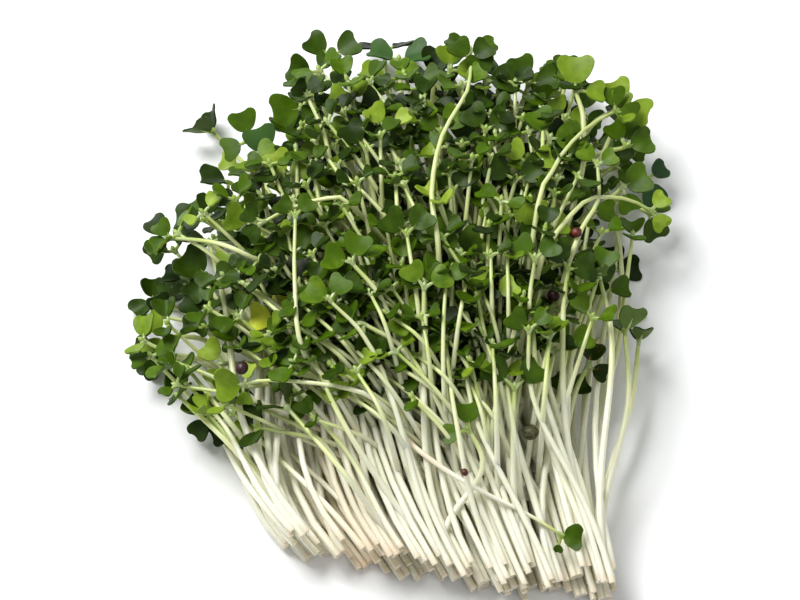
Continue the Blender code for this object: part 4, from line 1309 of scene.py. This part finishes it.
@dataclass(frozen=True)
class StemFinish(Finish):
    """A pale, juicy stem that turns green towards its head."""

    tones: tuple[tuple[float, str], ...] = (
        (0.0, "#e0d3bb"), (0.02, "#f5f1dc"), (0.36, "#f1f1d6"), (0.55, "#dfe3b0"), (0.78, "#bcc87a"),
        (1.0, "#8aa346"),
    )

    def build(self) -> bpy.types.Material:
        """The finished material."""
        material, tree, shader = self.start()
        colour = self.ramp(tree, self.fac(tree, "rise"), self.tones)
        blush = self.math(tree, "MULTIPLY", self.fac(tree, "blush"), 0.55)
        colour = self.mixed(tree, blush, colour, linear("#dfbf9f"))
        # Cloudy patches 3 mm across
        patches = self.band(tree, self.noise(tree, 3.0), 0.42, 0.62, 0.0, 0.22)
        colour = self.mixed(tree, patches, colour, linear("#dbe3c4"))
        tree.links.new(colour, shader.inputs["Base Color"])
        return material


@dataclass(frozen=True)
class PlainFinish(Finish):
    """One colour with a little unevenness."""

    code: str = "#ffffff"
    second_code: str = "#ffffff"
    grain_mm: float = 1.0

    def build(self) -> bpy.types.Material:
        """The finished material."""
        material, tree, shader = self.start()
        share = self.band(tree, self.noise(tree, self.grain_mm), 0.35, 0.65, 0.0, 1.0)
        colour = self.mixed(tree, share, linear(self.code), linear(self.second_code))
        tree.links.new(colour, shader.inputs["Base Color"])
        return material


def deselect() -> None:
    """Leaves nothing selected."""
    bpy.ops.object.select_all(action="DESELECT")


def coordinates(mesh: bpy.types.Mesh) -> np.ndarray:
    """A mesh's vertex coordinates."""
    found = np.empty(len(mesh.vertices) * 3, np.float32)
    mesh.vertices.foreach_get("co", found)
    return found.reshape(-1, 3).astype(np.float64)


def joined(objects: list[bpy.types.Object]) -> bpy.types.Object:
    """Several objects made one."""
    deselect()
    for obj in objects:
        obj.select_set(True)
    bpy.context.view_layer.objects.active = objects[0]
    if len(objects) > 1:
        bpy.ops.object.join()
    return objects[0]


@dataclass
class Masters:
    """The shapes that repeat, each modelled once: a tube for stems, one for petioles, a leaf and a bud."""

    leaf_edge: int = 24
    notch_depth: float = 0.27
    stem_sides: int = 8
    petiole_sides: int = 6
    stem: bpy.types.Mesh = field(init=False)
    petiole: bpy.types.Mesh = field(init=False)
    leaf: bpy.types.Mesh = field(init=False)
    bud: bpy.types.Mesh = field(init=False)

    def build(self) -> Masters:
        """Models the four shapes."""
        self.stem = self.tube(self.stem_sides, STEM_RINGS)
        self.petiole = self.tube(self.petiole_sides, PETIOLE_RINGS)
        self.leaf = self.sheet()
        self.bud = self.pointed_bud()
        return self

    @staticmethod
    def taken(name: str) -> bpy.types.Mesh:
        """The active object's mesh under a new name, its object removed."""
        obj = bpy.context.object
        mesh = obj.data
        mesh.name = name
        mesh.use_fake_user = True
        bpy.data.objects.remove(obj)
        return mesh

    def tube(self, sides: int, rings: int) -> bpy.types.Mesh:
        """A unit tube along Z from 0 to 1, closed at both ends.

        Args:
            sides: How many sides it has.
            rings: How many rings of vertices, ends included.

        Returns:
            The mesh.
        """
        deselect()
        bpy.ops.mesh.primitive_cylinder_add(vertices=sides, radius=1.0, depth=1.0, location=(0.0, 0.0, 0.5))
        obj = bpy.context.object
        bpy.ops.object.transform_apply(location=True, rotation=False, scale=False)
        bpy.ops.object.mode_set(mode="EDIT")
        bpy.ops.mesh.select_all(action="DESELECT")
        bpy.ops.mesh.select_mode(type="EDGE")
        bpy.ops.object.mode_set(mode="OBJECT")
        for edge in obj.data.edges:
            a, b = (obj.data.vertices[i].co for i in edge.vertices)
            edge.select = abs(a.z - b.z) > 0.5
        bpy.ops.object.mode_set(mode="EDIT")
        bpy.ops.mesh.subdivide(number_cuts=rings - 2)
        bpy.ops.object.mode_set(mode="OBJECT")
        return self.taken("tube")

    def sheet(self) -> bpy.types.Mesh:
        """A heart-shaped leaf, 1 wide and 1 long, from its stalk at the origin along Y."""
        deselect()
        bpy.ops.mesh.primitive_circle_add(vertices=self.leaf_edge, radius=0.5, location=(0.0, 0.5, 0.0))
        obj = bpy.context.object
        bpy.ops.object.transform_apply(location=True, rotation=False, scale=False)
        self.pull(obj, lambda co: co.y > 0.99, (0.0, -self.notch_depth, 0.0), 0.30)
        self.pull(obj, lambda co: co.y < 0.70 and co.x > 0.45, (-0.02, 0.09, 0.0), 0.25)
        self.pull(obj, lambda co: co.y < 0.70 and co.x < -0.45, (0.02, 0.09, 0.0), 0.25)
        bpy.ops.object.mode_set(mode="EDIT")
        bpy.ops.mesh.select_all(action="SELECT")
        bpy.ops.mesh.vertices_smooth(factor=0.4, repeat=1)
        bpy.ops.mesh.select_mode(type="EDGE")
        bpy.ops.mesh.select_all(action="SELECT")
        bpy.ops.mesh.fill_grid(span=self.leaf_edge // 4)
        bpy.ops.mesh.select_all(action="SELECT")
        bpy.ops.mesh.normals_make_consistent(inside=False)
        # The vertices inside the rim are evened out, so that none stands beyond the notch
        bpy.ops.mesh.region_to_loop()
        bpy.ops.mesh.select_mode(use_extend=True, type="VERT")
        bpy.ops.mesh.select_all(action="INVERT")
        bpy.ops.mesh.vertices_smooth(factor=0.5, repeat=30)
        bpy.ops.object.mode_set(mode="OBJECT")
        mesh = obj.data
        # Narrower towards the stalk
        points = coordinates(mesh)
        points[:, 0] *= 0.74 + 0.36 * points[:, 1]
        mesh.vertices.foreach_set("co", points.astype(np.float32).ravel())
        if mesh.polygons[0].normal.z < 0:
            mesh.flip_normals()
        layer = mesh.uv_layers.new(name="UVMap")
        for loop in mesh.loops:
            co = mesh.vertices[loop.vertex_index].co
            layer.data[loop.index].uv = (co.x + 0.5, co.y)
        return self.taken("leaf")

    @staticmethod
    def pull(obj: bpy.types.Object, chosen: object, way: tuple[float, float, float], reach: float) -> None:
        """Moves the chosen vertices with a soft falloff round them.

        Args:
            obj: The object.
            chosen: Says of a vertex's place whether it is chosen.
            way: How far to move.
            reach: How far the falloff goes.
        """
        bpy.ops.object.mode_set(mode="EDIT")
        bpy.ops.mesh.select_mode(type="VERT")
        bpy.ops.mesh.select_all(action="DESELECT")
        bpy.ops.object.mode_set(mode="OBJECT")
        for vertex in obj.data.vertices:
            vertex.select = chosen(vertex.co)
        bpy.ops.object.mode_set(mode="EDIT")
        bpy.ops.transform.translate(
            value=way, use_proportional_edit=True, proportional_edit_falloff="SMOOTH", proportional_size=reach
        )
        bpy.ops.object.mode_set(mode="OBJECT")

    def pointed_bud(self) -> bpy.types.Mesh:
        """A small bud, 1 long, from the origin along Z."""
        deselect()
        bpy.ops.mesh.primitive_ico_sphere_add(subdivisions=1, radius=0.5, location=(0.0, 0.0, 0.35))
        bpy.ops.transform.resize(value=(0.75, 0.6, 1.3))
        bpy.ops.object.transform_apply(location=True, rotation=True, scale=True)
        return self.taken("bud")


@dataclass
class LeafLook:
    """How one seedling's leaves differ from another's."""

    # The leaf's own tone, with painted shade and painted backlight in it
    tone: float
    faded: float = 0.0
    # A bluish share that is painted sheen
    bluish_sheen: float = 0.0
    spotted: float = 0.0


class Bunch:
    """The dressed bunch: one piece for each clump of the frame, and a few of further seedlings."""

    def __init__(self, masters: Masters) -> None:
        self.masters = masters
        self.rng = random.Random(LOOK_SEED)
        self.low, self.high = (np.array(corner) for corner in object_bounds())
        self.leaf_upper = LeafFinish("leaf_upper_side", 0.42, 0.15, 0.12, LEAF_SCATTER, Side.UPPER).build()
        self.leaf_under = LeafFinish("leaf_under_side", 0.55, 0.10, 0.12, LEAF_SCATTER, Side.UNDER).build()
        self.stem = StemFinish("stem_flesh", 0.34, 0.5, 0.35, STEM_SCATTER).build()

    def look(self, sprout: Sprout) -> LeafLook:
        """The look of a seedling's leaves, by its head where that is known.

        Args:
            sprout: The seedling.

        Returns:
            Its leaves' look.
        """
        # Painted shade: a leaf is darker the lower its head stands in the canopy, and lighter outside the
        # canopy's core
        top = canopy_height(*seen(sprout.joint))
        tone = DEEP_SHADE_TONE + HEIGHT_LIGHT_TONE * min(1.0, sprout.joint.z / top) + self.rng.gauss(0.0, TONE_SPREAD)
        tone += 0.0 if inside(CANOPY_CORE, *seen(sprout.joint)) else EDGE_LIGHT_TONE
        tone = min(TONE_LIMITS[1], max(TONE_LIMITS[0], tone))
        # Painted backlight: listed heads, and now and then a high one, get a pale tone for light shining
        # through the leaf
        if sprout.head in BACKLIT_HEADS or self.rng.random() < BACKLIT_CHANCE * sprout.joint.z / top:
            tone = self.rng.uniform(*BACKLIT_TONES)
        if sprout.clump[0] == "laid" and seen(sprout.joint)[1] < LOW_HEAD_V:
            tone = LOW_HEAD_TONE
        if sprout.head == FADED_HEAD:
            return LeafLook(tone, faded=0.85)
        return LeafLook(
            tone,
            bluish_sheen=0.8 if sprout.head in SHEEN_HEADS else max(0.0, self.rng.gauss(-0.15, 0.12)),
            spotted=1.0 if sprout.head == SPOTTED_HEAD else 0.0,
        )

    def placed(
        self, master: bpy.types.Mesh, points: np.ndarray, marks: dict[str, object]
    ) -> bpy.types.Object:
        """A copy of a master with its vertices at the given points, and its attributes set.

        Args:
            master: The mesh to copy.
            points: Where its vertices go, in the layout's millimetres.
            marks: The values of its attributes, one for all vertices or one for each.

        Returns:
            The new object.
        """
        mesh = master.copy()
        shifted = (points + np.array((0.0, MODEL_SHIFT_Y, 0.0))) * MM
        shifted = np.clip(shifted, self.low + 2e-5, self.high - 2e-5)
        mesh.vertices.foreach_set("co", shifted.astype(np.float32).ravel())
        for name in ("tone", "faded", "bluish_sheen", "spotted", "rise", "blush"):
            values = np.broadcast_to(np.asarray(marks.get(name, 0.0), np.float32), (len(mesh.vertices),))
            attribute = mesh.attributes.new(name, "FLOAT", "POINT")
            attribute.data.foreach_set("value", np.ascontiguousarray(values))
        obj = bpy.data.objects.new("copy", mesh)
        bpy.context.scene.collection.objects.link(obj)
        return obj

    def bent(
        self, master: bpy.types.Mesh, line: list[Vector], radii: tuple[float, ...], marks: dict[str, object]
    ) -> bpy.types.Object:
        """A tube bent along a line, its radius running through the given ones.

        Args:
            master: The straight tube.
            line: The line, one point for each ring.
            radii: Radii along it.
            marks: The values of its attributes.

        Returns:
            The new object.
        """
        shape = coordinates(master)
        points = np.array(line)
        ways = np.gradient(points, axis=0)
        ways /= np.linalg.norm(ways, axis=1, keepdims=True) + 1e-9
        side = np.cross(ways[0], (0.0, 0.0, 1.0)) + np.array((1e-4, 0.0, 0.0))
        sides = []
        for way in ways:
            side = side - way * side.dot(way)
            side = side / (np.linalg.norm(side) + 1e-9)
            sides.append(side)
        sides = np.array(sides)
        ups = np.cross(sides, ways)
        rings = np.clip(np.rint(shape[:, 2] * (len(points) - 1)).astype(int), 0, len(points) - 1)
        sizes = np.interp(np.linspace(0, 1, len(points)), np.linspace(0, 1, len(radii)), radii)
        spread = sides[rings] * shape[:, :1] + ups[rings] * shape[:, 1:2]
        if "rise" not in marks:
            marks = {**marks, "rise": shape[:, 2]}
        return self.placed(master, points[rings] + spread * sizes[rings][:, None], marks)

    def leaf(self, sprout: Sprout, blade: Blade, look: LeafLook) -> tuple[bpy.types.Object, bpy.types.Object]:
        """One seed leaf and its petiole, curled a little in its own way.

        Args:
            sprout: The seedling.
            blade: The leaf's place and size.
            look: Its leaves' look.

        Returns:
            The leaf's sheet and the petiole.
        """
        rng = self.rng
        flat = sprout.joint.z < FLAT_HEIGHT
        arch = 0.03 if flat else rng.uniform(*LEAF_ARCHES)
        cup = 0.0 if flat else rng.uniform(*LEAF_CUPS)
        twist = 0.0 if flat else rng.uniform(*LEAF_TWISTS)
        wave = 0.02 if flat else rng.uniform(*LEAF_WAVES)
        phase = rng.uniform(0.0, 6.3)

        def height(x: np.ndarray, y: np.ndarray) -> np.ndarray:
            """How far a point of the leaf stands off its plane, in millimetres."""
            bow = sprout.fold * np.abs(x) * blade.width + cup * 4.0 * x ** 2 * blade.width
            ripple = wave * blade.width * np.sin(phase + 9.0 * y + 7.0 * x) * np.abs(x) * 2.0
            return bow + ripple - arch * y ** 2 * blade.length

        shape = coordinates(self.masters.leaf) * FINE_LEAF_SCALE
        x, y = shape[:, 0], shape[:, 1]
        points = (
            np.array(sprout.joint)
            + np.outer(x * blade.width * np.cos(twist * y), blade.across)
            + np.outer(blade.neck + y * blade.length, blade.along)
            + np.outer(height(x, y) + x * blade.width * np.sin(twist * y), blade.normal)
        )
        marks = {
            "tone": look.tone + rng.uniform(-0.06, 0.06), "faded": look.faded, "bluish_sheen": look.bluish_sheen,
            "spotted": look.spotted,
        }
        sheet = self.placed(self.masters.leaf, points, marks)
        stem_way = (sprout.smooth[-1] - sprout.smooth[-2]).normalized()
        rib = height(np.array([0.0]), np.array([PETIOLE_REACH]))[0] - 0.10
        line = resampled([
            sprout.joint - stem_way * 0.5,
            sprout.joint + stem_way * 0.12 + blade.along * blade.neck * 0.35,
            sprout.joint + blade.along * (blade.neck * 1.02) - blade.normal * 0.10,
            sprout.joint + blade.along * (blade.neck + PETIOLE_REACH * blade.length) + blade.normal * rib,
        ], PETIOLE_RINGS)
        petiole = self.bent(self.masters.petiole, line, PETIOLE_RADII, {"rise": 0.97})
        return sheet, petiole

    def seedling(self, sprout: Sprout) -> tuple[list[bpy.types.Object], list[bpy.types.Object]]:
        """One seedling's leaf sheets, and its stem, petioles and bud.

        Args:
            sprout: The seedling.

        Returns:
            The sheets, and the other pieces.
        """
        look = self.look(sprout)
        left = max(0.0, 1.0 - abs(sprout.points[0].x + 6.0) / 9.0)
        shares = coordinates(self.masters.stem)[:, 2]
        blush = left * np.clip(1.0 - shares * 2.2, 0.0, 1.0) if sprout.blades else 0.8
        grown = self.rng.uniform(0.85, 1.0)
        # Greener wherever the stem runs inside the canopy
        rings = [np.interp(seen(point)[1], GREENING_PLACES, GREENING_SHARES) for point in sprout.smooth]
        canopy = np.interp(shares, np.linspace(0.0, 1.0, len(rings)), rings)
        rise = np.maximum(shares * grown, canopy) if seen(sprout.joint)[1] > LOW_HEAD_V else shares ** 5
        sheets = []
        fleshy = [self.bent(self.masters.stem, sprout.smooth, sprout.radii, {"blush": blush, "rise": rise})]
        for blade in sprout.blades:
            sheet, petiole = self.leaf(sprout, blade, look)
            sheets.append(sheet)
            fleshy.append(petiole)
        if sprout.blades:
            fleshy.append(self.bud(sprout))
        return sheets, fleshy

    def bud(self, sprout: Sprout) -> bpy.types.Object:
        """The bud between a head's two leaves."""
        leaning = sprout.blades[0].along + sprout.blades[-1].along
        way = (leaning + sprout.smooth[-1] - sprout.smooth[-2]).normalized()
        turn = np.array(way.to_track_quat("Z", "Y").to_matrix())
        shape = coordinates(self.masters.bud) * BUD_LENGTH
        return self.placed(self.masters.bud, np.array(sprout.joint) + shape @ turn.T, {"rise": 1.0})

    def piece(self, name: str, sprouts: list[Sprout]) -> bpy.types.Object:
        """One piece of several seedlings, with thickness, materials and smooth faces.

        Args:
            name: The piece's name.
            sprouts: Its seedlings.

        Returns:
            The finished object.
        """
        sheets, fleshy = [], []
        for sprout in sprouts:
            some_sheets, some_fleshy = self.seedling(sprout)
            sheets += some_sheets
            fleshy += some_fleshy
        stems = joined(fleshy)
        stems.data.materials.append(self.stem)
        whole = stems
        if sheets:
            leaves = joined(sheets)
            leaves.data.materials.append(self.leaf_upper)
            leaves.data.materials.append(self.leaf_under)
            solid = leaves.modifiers.new("thickness", "SOLIDIFY")
            solid.thickness = LEAF_THICKNESS * MM
            solid.offset = 0.0
            solid.material_offset = 1
            solid.material_offset_rim = 0
            bpy.ops.object.modifier_apply(modifier=solid.name)
            whole = joined([leaves, stems])
        whole.name = name
        whole.data.name = name
        deselect()
        whole.select_set(True)
        bpy.context.view_layer.objects.active = whole
        bpy.ops.object.shade_smooth_by_angle(angle=math.radians(50.0))
        self.confine(whole.data)
        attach(whole, "root")
        LOG.info("%s: %d seedlings, %d faces", name, len(sprouts), len(whole.data.polygons))
        return whole

    def confine(self, mesh: bpy.types.Mesh) -> None:
        """Keeps every vertex inside the frame's own box."""
        points = np.clip(coordinates(mesh), self.low, self.high)
        mesh.vertices.foreach_set("co", points.astype(np.float32).ravel())

    def build(self, framed: list[Sprout], more: list[Sprout]) -> None:
        """Builds every piece.

        Args:
            framed: The seedlings of the frame's clumps.
            more: Those that no clump has.
        """
        clumps: dict[tuple, list[Sprout]] = {}
        for sprout in framed:
            clumps.setdefault(sprout.clump, []).append(sprout)
        for column, row in sorted(clumps):
            name = f"{column + 1:02d}_{row + 1}"
            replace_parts(self.piece(f"seedlings_{name}", clumps[column, row]), f"clump_{name}")
        groups: dict[str, list[Sprout]] = {}
        for sprout in more:
            across = min(3, int((sprout.joint.x + 56.0) / 28.0))
            kind = "laid" if sprout.clump[0] == "laid" else f"part_{across + 1}"
            groups.setdefault(kind, []).append(sprout)
        for kind in sorted(groups):
            self.piece(f"more_seedlings_{kind}", groups[kind])


@dataclass
class SeedCoats:
    """Shed seed coats, each a small hull split along one side."""

    hues: tuple[tuple[str, str], ...] = (
        ("#5a2417", "#3a140e"), ("#33301a", "#1d1b0f"), ("#43161a", "#260c0f"), ("#3f171b", "#1f0b0d"),
    )
    gap_degrees: float = 34.0

    def build(self, sprouts: list[Sprout]) -> None:
        """Models the coats: one in the place of each node, and those that lie on top of the sprouts.

        Args:
            sprouts: Every seedling, frame's and further ones.
        """
        for index, (coat, hues) in enumerate(zip(SEED_COATS, self.hues)):
            name = f"seed_coat_{index + 1}"
            obj = self.hull(coat, index)
            self.dress(obj, f"{name}_hull", f"seed_hull_{index + 1}", hues)
            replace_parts(obj, name)
        points = np.array([
            point for sprout in sprouts
            for point in stem_samples(sprout.smooth)
            + [p for blade in sprout.blades for p in blade_samples(sprout.joint, blade, sprout.fold)]
        ])
        for index, (u, v, *sizes, hue, second_hue) in enumerate(SHOWN_COATS):
            obj = self.hull((u, v, self.top_height(points, u, v), *sizes), index)
            self.dress(obj, f"seed_coat_on_top_{index + 1}", f"seed_top_{index + 1}", (hue, second_hue))

    @staticmethod
    def dress(obj: bpy.types.Object, name: str, finish_name: str, hues: tuple[str, str]) -> None:
        """Names a coat, gives it its colours and ties it to the body.

        Args:
            obj: The coat.
            name: Its name.
            finish_name: The name of its material.
            hues: Its two colours.
        """
        obj.name = name
        obj.data.name = name
        finish = PlainFinish(finish_name, 0.42, 0.4, code=hues[0], second_code=hues[1], grain_mm=0.5)
        obj.data.materials.append(finish.build())
        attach(obj, "root")
        LOG.info("%s built", name)

    @staticmethod
    def top_height(points: np.ndarray, u: float, v: float) -> float:
        """The height at which something seen at (u, v) lies on the nearest of the points.

        Args:
            points: Points on every seedling.
            u: Where it is seen, across.
            v: Where it is seen, up.

        Returns:
            The height.
        """
        near = np.hypot(points @ np.array(RIGHT) - u, points @ np.array(UP) - v) < 1.3
        nearest = (points[near] @ np.array(FACING)).max() + 1.2
        return v * UP.z + nearest * FACING.z

    def hull(self, coat: tuple[float, ...], index: int) -> bpy.types.Object:
        """One bead, dented along a seam and flattened a little.

        Args:
            coat: Its (u, v), height and three diameters.
            index: Its number, by which it is turned.

        Returns:
            The new object.
        """
        deselect()
        bpy.ops.mesh.primitive_uv_sphere_add(segments=20, ring_count=12, radius=0.5)
        obj = bpy.context.object
        points = coordinates(obj.data)
        turn = np.arctan2(points[:, 1], points[:, 0])
        seam = np.exp(-(turn / math.radians(self.gap_degrees * 0.5)) ** 2)
        dent = seam * (1.0 - np.abs(points[:, 2] * 2.0) ** 3)
        points[:, :2] *= (1.0 - 0.16 * dent)[:, None]
        obj.data.vertices.foreach_set("co", points.astype(np.float32).ravel())
        bpy.ops.object.mode_set(mode="EDIT")
        bpy.ops.mesh.select_all(action="SELECT")
        bpy.ops.transform.resize(value=[d * MM * 0.96 for d in coat[3:]], center_override=(0.0, 0.0, 0.0))
        bpy.ops.transform.rotate(value=-0.7 * index, orient_axis="Z", center_override=(0.0, 0.0, 0.0))
        place = (world(*coat[:3]) + Vector((0.0, MODEL_SHIFT_Y, 0.0))) * MM
        bpy.ops.transform.translate(value=place)
        bpy.ops.object.mode_set(mode="OBJECT")
        bpy.ops.object.shade_smooth()
        return obj


@dataclass
class Studio:
    """The pale floor, the lights and the camera."""

    floor_size: float = 4.0
    distance: float = 1.2
    lens: float = 270.0
    look_height: float = 10.0
    key_watts: float = 14.0
    fill_watts: float = 1.8
    world_strength: float = 0.33

    def build(self) -> None:
        """Sets up all of it."""
        self.floor()
        self.light("key_light", (-0.42, 0.40, 0.80), 0.55, self.key_watts)
        self.light("fill_light", (0.55, -0.45, 0.70), 0.8, self.fill_watts)
        self.surround()
        self.camera()

    def floor(self) -> None:
        """A plain pale floor."""
        deselect()
        bpy.ops.mesh.primitive_plane_add(size=self.floor_size, location=(0.0, 0.0, -0.00005))
        floor = bpy.context.object
        floor.name = "floor"
        finish = PlainFinish("pale_floor", 0.7, 0.2, code="#f3f4f4", second_code="#f1f2f2", grain_mm=40.0)
        floor.data.materials.append(finish.build())
        floor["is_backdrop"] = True

    @staticmethod
    def light(name: str, place: tuple[float, float, float], size: float, watts: float) -> None:
        """A soft square light aimed at the bunch."""
        data = bpy.data.lights.new(name, "AREA")
        data.size = size
        data.energy = watts
        lamp = bpy.data.objects.new(name, data)
        lamp.location = place
        lamp.rotation_euler = (-Vector(place)).to_track_quat("-Z", "Y").to_euler()
        bpy.context.scene.collection.objects.link(lamp)

    def surround(self) -> None:
        """Even pale light from all round."""
        scene_world = bpy.data.worlds.new("studio")
        scene_world.use_nodes = True
        background = scene_world.node_tree.nodes["Background"]
        background.inputs[0].default_value = linear("#fbfcff")
        background.inputs[1].default_value = self.world_strength
        bpy.context.scene.world = scene_world
        bpy.context.scene.view_settings.view_transform = "Standard"

    def camera(self) -> None:
        """The camera, in front of the bunch and well above it."""
        data = bpy.data.cameras.new("camera")
        data.lens = self.lens
        data.sensor_width = 36.0
        data.clip_start = 0.05
        data.clip_end = 10.0
        aim = (world(0.0, 0.0, self.look_height) + Vector((0.0, MODEL_SHIFT_Y, 0.0))) * MM
        obj = bpy.data.objects.new("camera", data)
        obj.location = aim + FACING * self.distance
        obj.rotation_euler = (-FACING).to_track_quat("-Z", "Y").to_euler()
        bpy.context.scene.collection.objects.link(obj)
        bpy.context.scene.camera = obj


def main() -> None:
    """Dresses the frame and sets the scene round it."""
    logging.basicConfig(level=logging.INFO, format="%(message)s")
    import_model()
    framed = FrameLayout().sprouts()
    more = FillingLayout(framed).sprouts()
    LOG.info("seedlings: %d of the frame, %d more", len(framed), len(more))
    Bunch(Masters().build()).build(framed, more)
    SeedCoats().build(framed + more)
    Studio().build()


if __name__ == "__main__":
    main()
